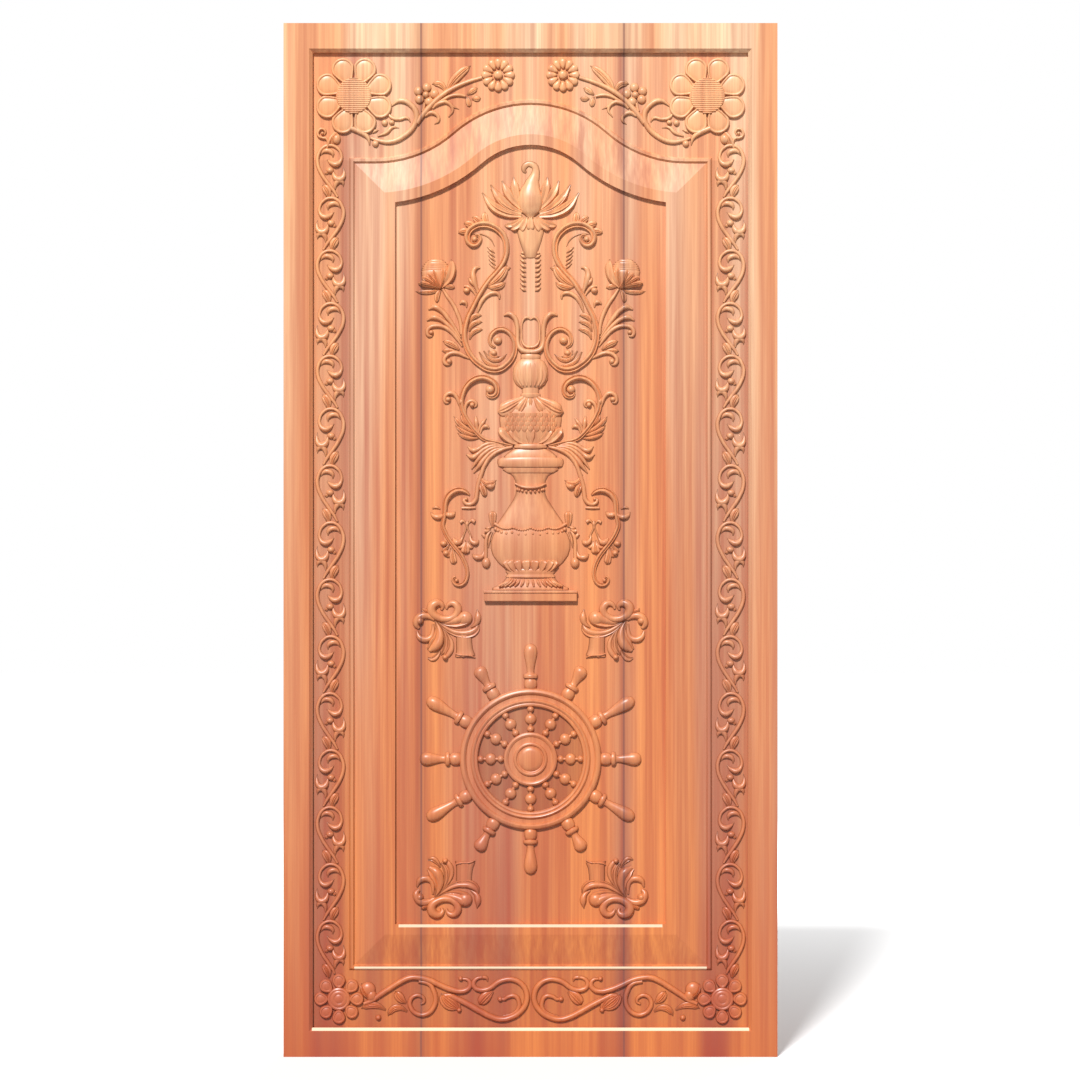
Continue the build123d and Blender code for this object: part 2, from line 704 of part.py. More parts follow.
def lower_arm():
    """Plant the hanging arm with its bowls, berries and end curl."""
    with BuildSketch(tree_plane) as stems:
        scroll([
            (-121, 531), (-142, 543), (-156, 538), (-167, 527), (-171, 513), (-173, 497),
            (-174, 482), (-178, 472), (-174, 457), (-165, 441), (-153, 426), (-140, 410),
            (-131, 394), (-126, 379), (-126, 363), (-132, 352), (-143, 347), (-154, 352),
            (-155, 363),
        ], (4, 9, 9, 9, 10, 9, 9, 8, 7, 4))
        scroll([(-198, 499), (-188, 487), (-174, 491)], (2, 8, 6))
        scroll([(-170, 497), (-162, 485), (-151, 493)], (6, 8, 2))
        scroll([(-157, 440), (-147, 430), (-136, 441)], (2, 9, 2))
        scroll([(-122, 447), (-114, 430), (-103, 438)], (2, 9, 2))
        scroll([(-115, 408), (-104, 400), (-92, 411)], (2, 8, 2))
        leaf_blade((-78, 452), (-90, 395), 9, -4)
    extrude(stems.sketch, amount=stem_relief)
    with BuildSketch(tree_plane) as blades:
        leaf_blade((-127, 445), (-140, 474), 10)
        leaf_blade((-127, 445), (-127, 477), 9)
        leaf_blade((-127, 445), (-114, 474), 10)
        leaf_blade((-128, 435), (-131, 411), 11)
        leaf_blade((-162, 417), (-153, 391), 11)
        leaf_blade((-76, 465), (-76, 497), 13)
        boss((-174, 429), 6, 6)
        boss((-171, 411), 6, 6)
        boss((-90, 391), 8, 6)
    extrude(blades.sketch, amount=bud_relief)


def lyre():
    """Plant the open lyre of two curved leaves over the collar."""
    with BuildSketch(tree_plane) as horns:
        for side in (-1, 1):
            horn = [
            (-52, 887), (-40, 891), (-30, 883), (-26, 864), (-26, 844), (-21, 827),
            (-11, 818), (-5, 816), (0, 816),
        ]
            scroll([(side * x, z) for x, z in horn], (3, 9, 9, 9, 9))
        bud((0, 851), 16, 25, 10)
        with Locations((0, 805)):
            Rectangle(40, 12)
    extrude(horns.sketch, amount=stem_relief)


def turned_stack(halves, amount):
    """Plant a turned shape as the mirrored outline of its half widths and heights."""
    left = [(-half, z) for half, z in halves]
    right = [(half, z) for half, z in reversed(halves)]
    with BuildSketch(tree_plane) as outline_face:
        with BuildLine() as outline:
            Polyline(*left, *right, close=True)
        make_face(outline.edges())
    extrude(outline_face.sketch, amount=amount)


def vase_bulb():
    """Plant the reeded ball, the neck and the scaled bulb of the vase."""
    turned_stack([(12, 798), (28, 793), (36, 779), (36, 764), (28, 750), (16, 743)], top_relief)
    turned_stack([(18, 743), (18, 726)], bud_relief)
    turned_stack([(36, 726), (56, 715), (63, 698), (63, 679), (56, 657), (42, 639), (30, 631)], top_relief)


def urn():
    """Plant the urn: lid, rim, hollow neck, belt, bowl and flared foot on its plinth."""
    turned_stack([(37, 629), (40, 618), (60, 601)], bud_relief)
    turned_stack([(65, 601), (65, 585)], top_relief)
    turned_stack([(54, 585), (54, 575), (38, 565), (29, 551)], bud_relief)
    turned_stack([(29, 551), (29, 531)], top_relief)
    turned_stack([(32, 531), (69, 470)], bud_relief)
    turned_stack([(71, 470), (71, 448)], top_relief)
    turned_stack([(68, 448), (80, 437), (80, 417), (70, 399), (50, 380)], bud_relief)
    turned_stack([(49, 380), (49, 365)], top_relief)
    turned_stack([(51, 365), (60, 349), (76, 337)], bud_relief)
    turned_stack([(93, 337), (93, 316)], top_relief)


def turned_bars(profile):
    """Plant one turned bar at each spoke's angle, from its half widths along the radius."""
    upper = [(along, half) for along, half in profile]
    lower = [(along, -half) for along, half in reversed(profile)]
    with BuildSketch(tree_plane) as bars:
        with PolarLocations(0, spoke_count, start_angle=90):
            Polygon(*upper, *lower, align=None)
    extrude(bars.sketch, amount=bud_relief)


def wheel_spokes():
    """Plant the turned spokes between the hub and the rim."""
    turned_bars([(54, 4), (68, 4), (80, 11), (92, 4), (104, 4)])


def wheel_grips():
    """Plant the turned grips that stand outside the rim."""
    turned_bars([(142, 6), (149, 12), (163, 12), (169, 5), (182, 4), (211, 14), (225, 5)])


def stepped_rings(steps, sides):
    """Plant flat-sided rings inside one another, each with its own height."""
    for inner, outer, height in steps:
        with BuildSketch(tree_plane) as ring:
            RegularPolygon(outer, sides)
            if inner > 0:
                RegularPolygon(inner, sides, mode=Mode.SUBTRACT)
        extrude(ring.sketch, amount=height)


def wheel_rim():
    """Plant the rim: an outer bead, a groove and an inner bead."""
    stepped_rings(((130, 142, 9), (120, 130, 5), (105, 120, 11)), 30)


def wheel_hub():
    """Plant the hub: two stepped rings about the boss."""
    stepped_rings(((42, 54, 6), (26, 42, 9), (0, 26, 12)), 20)


def leaf_cluster():
    """Plant one curled leaf cluster beside the wheel."""
    with BuildSketch(tree_plane) as stems:
        scroll([(-199, 281), (-214, 287), (-232, 271), (-220, 251), (-200, 253), (-196, 267)], (4, 8, 8, 4))
        scroll([(-195, 277), (-170, 261), (-138, 248), (-114, 245), (-102, 251), (-101, 267)], (6, 11, 11, 4))
        scroll([(-192, 285), (-170, 293), (-150, 287), (-143, 301), (-158, 310), (-164, 300)], (5, 9, 9, 4))
        scroll([(-192, 289), (-176, 299), (-176, 315), (-192, 320), (-197, 307)], (5, 9, 8, 4))
    extrude(stems.sketch, amount=stem_relief)
    with BuildSketch(tree_plane) as blades:
        leaf_blade((-186, 277), (-203, 202), 27)
        leaf_blade((-180, 267), (-168, 199), 20)
        leaf_blade((-158, 282), (-101, 285), 22)
        with BuildLine() as outline:
            Polyline(*[(-150, 247), (-113, 241), (-113, 205), (-146, 208)], close=True)
        make_face(outline.edges())
    extrude(blades.sketch, amount=bud_relief)


def carved(label, plant, cut_by=()):
    """Build one carved piece, cut back where it meets pieces already planted."""
    with BuildPart() as piece:
        plant()
        for other in cut_by:
            add(other, mode=Mode.SUBTRACT)
    piece.part.label = label
    return piece.part


def reflected(label, original, plane, cut_by=()):
    """Build the twin of a carved piece on the other side of a plane."""
    with BuildPart() as piece:
        mirror(original, about=plane)
        for other in cut_by:
            add(other, mode=Mode.SUBTRACT)
    piece.part.label = label
    return piece.part


# Carved pieces on the centre line, then those made once and mirrored to the other side
centre_pieces = [
    carved("urn", urn),
    carved("vase_bulb", vase_bulb),
    carved("lyre", lyre),
    carved("rope_strings", rope_strings),
    carved("finial_cone_and_sepals", finial_foot),
    carved("crest_bird", crest_bird),
]
wheel_pieces = [
    carved("wheel_hub", wheel_hub),
    carved("wheel_rim", wheel_rim),
    carved("wheel_spokes", wheel_spokes),
    carved("wheel_grips", wheel_grips),
]
side_pieces = []
for label, plant in (
    ("border_scrolls", border_column),
    ("corner_rosette", upper_rosette),
    ("corner_spray", upper_spray),
    ("lotus_petals", lotus_petal_pair),
    ("upper_arm", upper_arm),
    ("middle_arm", middle_arm),
    ("lower_arm", lower_arm),
    ("leaf_cluster_upper", leaf_cluster),
    ("foot_scroll", foot_scroll),
    ("foot_rosette", lower_rosette),
):
    near = []
    if label in ("lotus_petals", "upper_arm", "middle_arm", "lower_arm"):
        near = centre_pieces
    if label == "corner_spray":
        near = side_pieces
    left = carved(label + "_left", plant, near)
    right = reflected(label + "_right", left, Plane.YZ, near)
    side_pieces += [left, right]
    if label == "leaf_cluster_upper":
        wheel_level = Plane.XY.offset(wheel_z)
        side_pieces.append(reflected("leaf_cluster_lower_left", left, wheel_level))
        side_pieces.append(reflected("leaf_cluster_lower_right", right, wheel_level))

for piece in centre_pieces + wheel_pieces + side_pieces:
    export_step(piece, f"parts/{piece.label}.step")

for piece in (sill, head, hinge_jamb, closing_jamb, frame_plates, leaf_plates, hinge_pins,
              left_board, middle_board, right_board):
    export_step(piece.part, f"parts/{piece.part.label}.step")
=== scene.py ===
import logging
import math
from dataclasses import dataclass, field
from enum import Enum

import bpy
from mathutils import Matrix, Vector


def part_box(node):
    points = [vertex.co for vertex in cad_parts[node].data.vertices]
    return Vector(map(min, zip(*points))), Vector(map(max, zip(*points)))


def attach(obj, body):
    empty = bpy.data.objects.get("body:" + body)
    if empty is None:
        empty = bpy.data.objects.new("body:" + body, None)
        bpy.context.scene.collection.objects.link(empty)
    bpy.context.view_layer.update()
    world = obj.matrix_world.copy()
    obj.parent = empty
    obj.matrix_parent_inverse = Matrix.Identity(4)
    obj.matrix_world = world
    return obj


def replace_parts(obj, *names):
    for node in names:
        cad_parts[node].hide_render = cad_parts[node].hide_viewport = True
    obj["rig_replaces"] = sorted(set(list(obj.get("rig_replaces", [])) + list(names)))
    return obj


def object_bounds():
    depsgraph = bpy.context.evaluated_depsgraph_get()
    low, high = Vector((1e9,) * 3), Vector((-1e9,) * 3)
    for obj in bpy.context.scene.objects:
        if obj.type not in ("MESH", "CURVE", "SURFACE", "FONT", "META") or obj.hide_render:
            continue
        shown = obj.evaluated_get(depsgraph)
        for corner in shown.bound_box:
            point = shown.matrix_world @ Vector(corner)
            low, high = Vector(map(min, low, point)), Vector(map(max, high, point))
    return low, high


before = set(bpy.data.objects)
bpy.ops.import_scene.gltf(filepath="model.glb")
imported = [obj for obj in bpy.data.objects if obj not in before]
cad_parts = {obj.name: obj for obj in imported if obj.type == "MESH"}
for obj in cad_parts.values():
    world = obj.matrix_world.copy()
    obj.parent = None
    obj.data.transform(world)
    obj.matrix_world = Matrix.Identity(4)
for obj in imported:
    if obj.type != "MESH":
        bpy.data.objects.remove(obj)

CAD_BOX = [list(corner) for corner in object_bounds()]
MM = 0.001
DOOR_TOP = CAD_BOX[1][2]
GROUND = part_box("wheel_rim")[1].y

Point = tuple[float, float]
Colour = tuple[float, float, float]
Band = tuple[list[Point], tuple[float, ...]]
Leaf = tuple[Point, Point, float, float]
Dome = tuple[Point, float, float]
Socket = bpy.types.NodeSocket
Value = Socket | float | tuple[float, ...]

log = logging.getLogger("entry_door")


class Section(Enum):
    """Cross sections of a carved band."""

    ROUND = "round"
    VEINED = "veined"
    ROLLED = "rolled"
    GROOVED = "grooved"


class Tip(Enum):
    """How a leaf ends: its widths along its length as shares of the widest."""

    POINTED = (0.35, 0.85, 1.0, 0.7, 0.05)
    ROUNDED = (0.4, 0.8, 1.0, 0.95, 0.25)


class Fall(Enum):
    """How a value runs between two levels."""

    EVEN = "LINEAR"
    SOFT = "SMOOTHSTEP"


class Axis(Enum):
    """The direction that an ornament is turned round in for its twin."""

    ACROSS = (1, 0, 0)
    UP = (0, 0, 1)


# Each outline runs across from -1 to 1, with its height as a share of the relief.
SECTION_POINTS: dict[Section, list[Point]] = {
    Section.ROUND: [(-1, -0.3), (-1, 0), (-0.9, 0.42), (-0.68, 0.75), (-0.36, 0.95), (0, 1),
                    (0.36, 0.95), (0.68, 0.75), (0.9, 0.42), (1, 0), (1, -0.3)],
    Section.VEINED: [(-1, -0.3), (-1, 0), (-0.86, 0.46), (-0.58, 0.62), (-0.42, 0.6),
                     (-0.2, 0.92), (0, 0.72), (0.2, 0.92), (0.42, 0.6), (0.58, 0.62),
                     (0.86, 0.46), (1, 0), (1, -0.3)],
    Section.ROLLED: [(-1, -0.3), (-1, 0), (-0.88, 0.62), (-0.66, 0.85), (-0.42, 0.78), (0, 0.6),
                     (0.42, 0.78), (0.66, 0.85), (0.88, 0.62), (1, 0), (1, -0.3)],
    Section.GROOVED: [(-1, -0.3), (-1, 0), (-0.9, 0.5), (-0.66, 0.86), (-0.3, 1), (0.06, 0.86),
                      (0.26, 0.5), (0.38, 0.42), (0.52, 0.62), (0.74, 0.7), (0.93, 0.4), (1, 0),
                      (1, -0.3)],
}

LEAF_SHARES = (0.0, 0.3, 0.6, 0.86, 1.0)
BAND_STEPS = 5
THINNEST_BAND = 0.6
BAND_CREASE = math.radians(50)
TURNED_CREASE = math.radians(38)
DOUBLES = 0.00001


def srgb(red: int, green: int, blue: int) -> Colour:
    """Turn a colour from 0 to 255 into the linear values that the shaders use.

    Args:
        red: Share of red.
        green: Share of green.
        blue: Share of blue.

    Returns:
        The linear colour.
    """
    values = []
    for value in (red, green, blue):
        share = value / 255
        values.append(share / 12.92 if share <= 0.04045 else ((share + 0.055) / 1.055) ** 2.4)
    return tuple(values)


@dataclass(frozen=True)
class Patch:
    """A rectangle on the door's front, in metres.

    Attributes:
        low: Height of its lower edge.
        high: Height of its upper edge.
        half: Half its width.
        middle: Where its middle falls across the door.
    """

    low: float
    high: float
    half: float
    middle: float = 0.0


@dataclass(frozen=True)
class Streaks:
    """Noise drawn out along the grain.

    Attributes:
        across: Scale across the grain.
        along: Scale along the grain.
        detail: Detail of the noise.
        middle: The noise's level about which a streak fades in.
        below: How far below that level the streak starts.
        above: How far above it the streak is full.
    """

    across: float
    along: float
    detail: float
    middle: float
    below: float = 0.22
    above: float = 0.16


@dataclass(frozen=True)
class Timber:
    """One procedural teak finish.

    Attributes:
        name: Name of the material.
        top: Colour at the head of the door.
        foot: Colour at the foot of the door.
        streak: Colour of the dark streaks.
        streak_share: How strongly the dark streaks show.
        gold_share: How strongly the golden bands show.
        grain: Strength of the fine grain's bump.
        roughness: Roughness of the satin polish.
        foot_shade: Strength of the painted contact shade where the piece meets the carved ground.
        painted_glints: Painted highlights on level edges that catch the light from above.
        fields: Sunk grounds darkened with painted shade.
        specular: Strength of the wood's own gloss.
        coat: Strength of the polish over it.
        coat_roughness: Roughness of that polish.
    """

    name: str
    top: Colour
    foot: Colour
    streak: Colour
    streak_share: float
    gold_share: float
    grain: float = 0.12
    roughness: float = 0.4
    foot_shade: float = 0.0
    painted_glints: tuple[Patch, ...] = ()
    fields: tuple[Patch, ...] = ()
    specular: float = 0.42
    coat: float = 0.18
    coat_roughness: float = 0.28


@dataclass(frozen=True)
class Brass:
    """The hinges' worn brass.

    Attributes:
        name: Name of the material.
        worn: Colour of the dull places.
        bright: Colour of the rubbed places.
        roughness: Roughness of the metal.
        mottle: Scale of the change between them.
    """

    name: str
    worn: Colour
    bright: Colour
    roughness: float
    mottle: float


# Painted highlights lie along the sill's chamfer, the bead's lower edge and the recess's lower
# edge.
FRAME_TEAK = Timber("frame_teak", srgb(255, 222, 180), srgb(152, 63, 46), srgb(166, 70, 42),
                    streak_share=0.5, gold_share=0.65, painted_glints=(Patch(0.0522, 0.0578, 0.4375),))
# The boards' sunk grounds beside and below the panel carry painted shade.
BOARD_TEAK = Timber("board_teak", srgb(255, 212, 172), srgb(150, 67, 46), srgb(160, 66, 44),
                    streak_share=0.62, gold_share=0.7,
                    painted_glints=(Patch(0.1725, 0.1795, 0.353), Patch(0.2588, 0.2645, 0.264)),
                    fields=(Patch(0.058, 0.1715, 0.44), Patch(0.1715, 1.795, 0.041, -0.3995),
                            Patch(0.1715, 1.795, 0.041, 0.3995)))
# The carvings carry painted contact shade where they meet the ground.
CARVED_TEAK = Timber("carved_teak", srgb(255, 205, 154), srgb(168, 76, 50), srgb(160, 66, 42),
                     streak_share=0.38, gold_share=0.45, grain=0.05, roughness=0.38,
                     foot_shade=0.85)
HINGE_BRASS = Brass("hinge_brass", srgb(150, 118, 62), srgb(206, 172, 98), roughness=0.34,
                    mottle=60.0)

GOLD = srgb(238, 146, 72)
SEAM = srgb(112, 66, 62)
# Colour of the painted shade at the carvings' feet, in the sunk grounds and inside the wheel.
SHADE = srgb(104, 52, 28)
# Colour of the painted highlights on edges that catch the light.
GLINT_CREAM = srgb(255, 232, 200)

BROAD_BANDS = Streaks(13.0, 0.5, 1.5, 0.5)
DARK_STREAKS = Streaks(46.0, 0.8, 3.0, 0.6)
THIN_LINES = Streaks(118.0, 1.4, 3.0, 0.58)
FINE_GRAIN = Streaks(260.0, 5.0, 2.0, 0.5)
THIN_LINES_SHARE = 0.5
FINE_GRAIN_SHARE = 0.2
GRAIN_DEPTH = 0.0006

# Places of the seams across the door, and reach and strength of their line and its soft stain.
SEAMS = (-0.219, 0.187)
SEAM_STAINS = ((0.0032, 0.75), (0.022, 0.28))
# How far off the ground the painted contact shade at a carving's foot ends and starts.
FOOT_SHADE_REACH = (0.0038, 0.0004)
# Strength of the painted highlights on edges.
PAINTED_GLINT_SHARE = 0.75
# Strength of the painted shade in the sunk grounds.
FIELD_SHADE_SHARE = 0.16
# The painted shade inside the wheel's rim ends on a sphere that stands ahead of the face.
OPENING_RADIUS = 0.105
OPENING_AHEAD = 0.12
OPENING_SHADE_SHARE = 0.38


class Wiring:
    """The nodes of one material or world, and the ways in which they are joined."""

    def __init__(self, owner: bpy.types.Material | bpy.types.World) -> None:
        """Switch on the nodes of a material or world."""
        owner.use_nodes = True
        self.tree = owner.node_tree

    def feed(self, node: bpy.types.Node, inputs: dict[str | int, Value]) -> None:
        """Set a node's inputs.

        Args:
            node: The node.
            inputs: For each input its plain value, or the output that feeds it.
        """
        for name, value in inputs.items():
            if isinstance(value, Socket):
                self.tree.links.new(value, node.inputs[name])
            else:
                node.inputs[name].default_value = value

    def make(self, kind: str, inputs: dict[str | int, Value], **settings: str) -> bpy.types.Node:
        """Add a node.

        Args:
            kind: Blender's name of the node, without its first part.
            inputs: For each input its plain value, or the output that feeds it.
            **settings: The node's own settings.

        Returns:
            The node.
        """
        node = self.tree.nodes.new("ShaderNode" + kind)
        for name, value in settings.items():
            setattr(node, name, value)
        self.feed(node, inputs)
        return node

    def reckon(self, operation: str, *values: Value) -> Socket:
        """Join a Math node to its values and give its result."""
        return self.make("Math", dict(enumerate(values)), operation=operation).outputs[0]

    def ramp(self, value: Socket, start: float, end: float, fall: Fall = Fall.EVEN) -> Socket:
        """Run from 0 to 1 as a value goes from one level to another.

        Args:
            value: The value.
            start: Its level where the result is 0.
            end: Its level where the result is 1.
            fall: How the result runs in between.

        Returns:
            The result.
        """
        levels = {"Value": value, "From Min": start, "From Max": end}
        return self.make("MapRange", levels, interpolation_type=fall.value).outputs[0]

    def mix(self, factor: Socket, low: Value, high: Value) -> Socket:
        """Mix two colours.

        Args:
            factor: Share of the second colour.
            low: The first colour, with its alpha, or its socket.
            high: The second colour, in the same way.

        Returns:
            The mixed colour.
        """
        inputs = {"Factor": factor, "A": low, "B": high}
        return self.make("Mix", inputs, data_type="RGBA").outputs["Result"]

    def blend(self, factor: Socket, base: Socket, colour: Colour, share: float) -> Socket:
        """Lay a plain colour over another where a factor is high.

        Args:
            factor: Where the colour goes.
            base: The colour under it.
            colour: The colour that is laid over.
            share: How strongly it shows.

        Returns:
            The blended colour.
        """
        return self.mix(self.reckon("MULTIPLY", factor, share), base, (*colour, 1.0))

    def patch(self, parts: bpy.types.NodeOutputs, patch: Patch) -> Socket:
        """Mark out a rectangle on the door's front, and not on its back.

        Args:
            parts: The place on the object, parted into X, Y and Z.
            patch: The rectangle.

        Returns:
            1 inside the rectangle and 0 outside it.
        """
        front = CAD_BOX[0][1] / 2
        tall = self.reckon("COMPARE", parts["Z"], (patch.low + patch.high) / 2,
                           (patch.high - patch.low) / 2)
        wide = self.reckon("COMPARE", parts["X"], patch.middle, patch.half)
        deep = self.reckon("COMPARE", parts["Y"], front, abs(front))
        return self.reckon("MULTIPLY", self.reckon("MULTIPLY", tall, wide), deep)

    def stripe(self, across: Socket, middle: float, reach: float) -> Socket:
        """Make a soft upright stripe.

        Args:
            across: The place across the door.
            middle: Where the stripe is full, in metres.
            reach: How far to either side it fades out.

        Returns:
            1 in the stripe's middle and 0 outside it.
        """
        away = self.reckon("ABSOLUTE", self.reckon("SUBTRACT", across, middle))
        return self.ramp(away, reach, 0.0, Fall.SOFT)

    def streaks(self, place: Socket, streaks: Streaks) -> Socket:
        """Make streaks along the grain.

        Args:
            place: The place on the object.
            streaks: Their scale and how they fade in.

        Returns:
            1 in a streak and 0 between them.
        """
        scale = (streaks.across, streaks.across, streaks.along)
        drawn = self.make("Mapping", {"Vector": place, "Scale": scale}).outputs[0]
        noise = self.make("TexNoise", {"Vector": drawn, "Scale": 1.0, "Detail": streaks.detail})
        return self.ramp(noise.outputs["Fac"], streaks.middle - streaks.below,
                         streaks.middle + streaks.above, Fall.SOFT)

    def opening(self, place: Socket) -> Socket:
        """Mark out the opening of the carved wheel on the front, where shade is painted.

        Args:
            place: The place on the object.

        Returns:
            1 inside the opening and 0 outside it.
        """
        centre = tree_anchor() - Vector((0, OPENING_AHEAD, 0))
        away = self.make("VectorMath", {0: place, 1: tuple(centre)}, operation="DISTANCE")
        return self.reckon("LESS_THAN", away.outputs["Value"],
                           math.hypot(OPENING_RADIUS, OPENING_AHEAD))

    def show(self, unseen: Socket, seen: Socket, output: str) -> None:
        """Show one shader to the camera, to gloss and to glass, and another to all other rays.

        Args:
            unseen: The shader that lights the door.
            seen: The shader that is looked at.
            output: Name of the output node.
        """
        rays = self.make("LightPath", {}).outputs
        looked = self.reckon("MAXIMUM", rays["Is Camera Ray"], rays["Is Glossy Ray"])
        looked = self.reckon("MAXIMUM", looked, rays["Is Transmission Ray"])
        switch = self.make("MixShader", {0: looked, 1: unseen, 2: seen})
        self.feed(self.tree.nodes[output], {"Surface": switch.outputs[0]})


class Finishes:
    """Makes each finish once and hands it out."""

    def __init__(self) -> None:
        """Start with no material made."""
        self.made: dict[str, bpy.types.Material] = {}

    def timber(self, wood: Timber) -> bpy.types.Material:
        """Make or reuse a teak finish.

        Args:
            wood: The finish to make.

        Returns:
            The material.
        """
        if wood.name in self.made:
            return self.made[wood.name]
        material = bpy.data.materials.new(wood.name)
        wiring = Wiring(material)
        place = wiring.make("TexCoord", {}).outputs["Object"]
        parts = wiring.make("SeparateXYZ", {0: place}).outputs
        colour = wiring.mix(wiring.ramp(parts["Z"], 0.0, DOOR_TOP), (*wood.foot, 1.0),
                            (*wood.top, 1.0))
        fine = wiring.streaks(place, FINE_GRAIN)
        for streaks, stain, share in (
            (wiring.streaks(place, BROAD_BANDS), GOLD, wood.gold_share),
            (wiring.streaks(place, DARK_STREAKS), wood.streak, wood.streak_share),
            (wiring.streaks(place, THIN_LINES), wood.streak, wood.streak_share * THIN_LINES_SHARE),
            (fine, wood.streak, FINE_GRAIN_SHARE),
        ):
            colour = wiring.blend(streaks, colour, stain, share)
        for seam in SEAMS:
            for reach, share in SEAM_STAINS:
                colour = wiring.blend(wiring.stripe(parts["X"], seam, reach), colour, SEAM, share)
        # Painted contact shade: darker where a carving meets the ground.
        if wood.foot_shade > 0:
            end, start = FOOT_SHADE_REACH
            depth = wiring.ramp(parts["Y"], GROUND - end, GROUND - start)
            colour = wiring.blend(depth, colour, SHADE, wood.foot_shade)
        # Painted highlights: pale cream on the level edges that catch the light.
        for glint in wood.painted_glints:
            colour = wiring.blend(wiring.patch(parts, glint), colour, GLINT_CREAM, PAINTED_GLINT_SHARE)
        # Painted shade in the sunk grounds beside and below the panel.
        for sunk in wood.fields:
            colour = wiring.blend(wiring.patch(parts, sunk), colour, SHADE, FIELD_SHADE_SHARE)
        # Painted shade on the ground inside the wheel's rim, between the spokes.
        if wood.fields:
            colour = wiring.blend(wiring.opening(place), colour, SHADE, OPENING_SHADE_SHARE)
        bump = wiring.make("Bump", {"Strength": wood.grain, "Distance": GRAIN_DEPTH,
                                    "Height": fine})
        wiring.feed(wiring.tree.nodes["Principled BSDF"], {
            "Roughness": wood.roughness, "Specular IOR Level": wood.specular,
            "Coat Weight": wood.coat, "Coat Roughness": wood.coat_roughness,
            "Base Color": colour, "Normal": bump.outputs[0]})
        self.made[wood.name] = material
        return material

    def metal(self, brass: Brass) -> bpy.types.Material:
        """Make or reuse the hinges' finish.

        Args:
            brass: The finish to make.

        Returns:
            The material.
        """
        if brass.name in self.made:
            return self.made[brass.name]
        material = bpy.data.materials.new(brass.name)
        wiring = Wiring(material)
        place = wiring.make("TexCoord", {}).outputs["Object"]
        noise = wiring.make("TexNoise", {"Vector": place, "Scale": brass.mottle})
        tone = wiring.mix(noise.outputs["Fac"], (*brass.worn, 1.0), (*brass.bright, 1.0))
        wiring.feed(wiring.tree.nodes["Principled BSDF"], {
            "Metallic": 1.0, "Roughness": brass.roughness, "Base Color": tone})
        self.made[brass.name] = material
        return material


FINISHES = Finishes()


def dress(obj: bpy.types.Object, material: bpy.types.Material) -> None:
    """Give an object one finish."""
    obj.data.materials.clear()
    obj.data.materials.append(material)


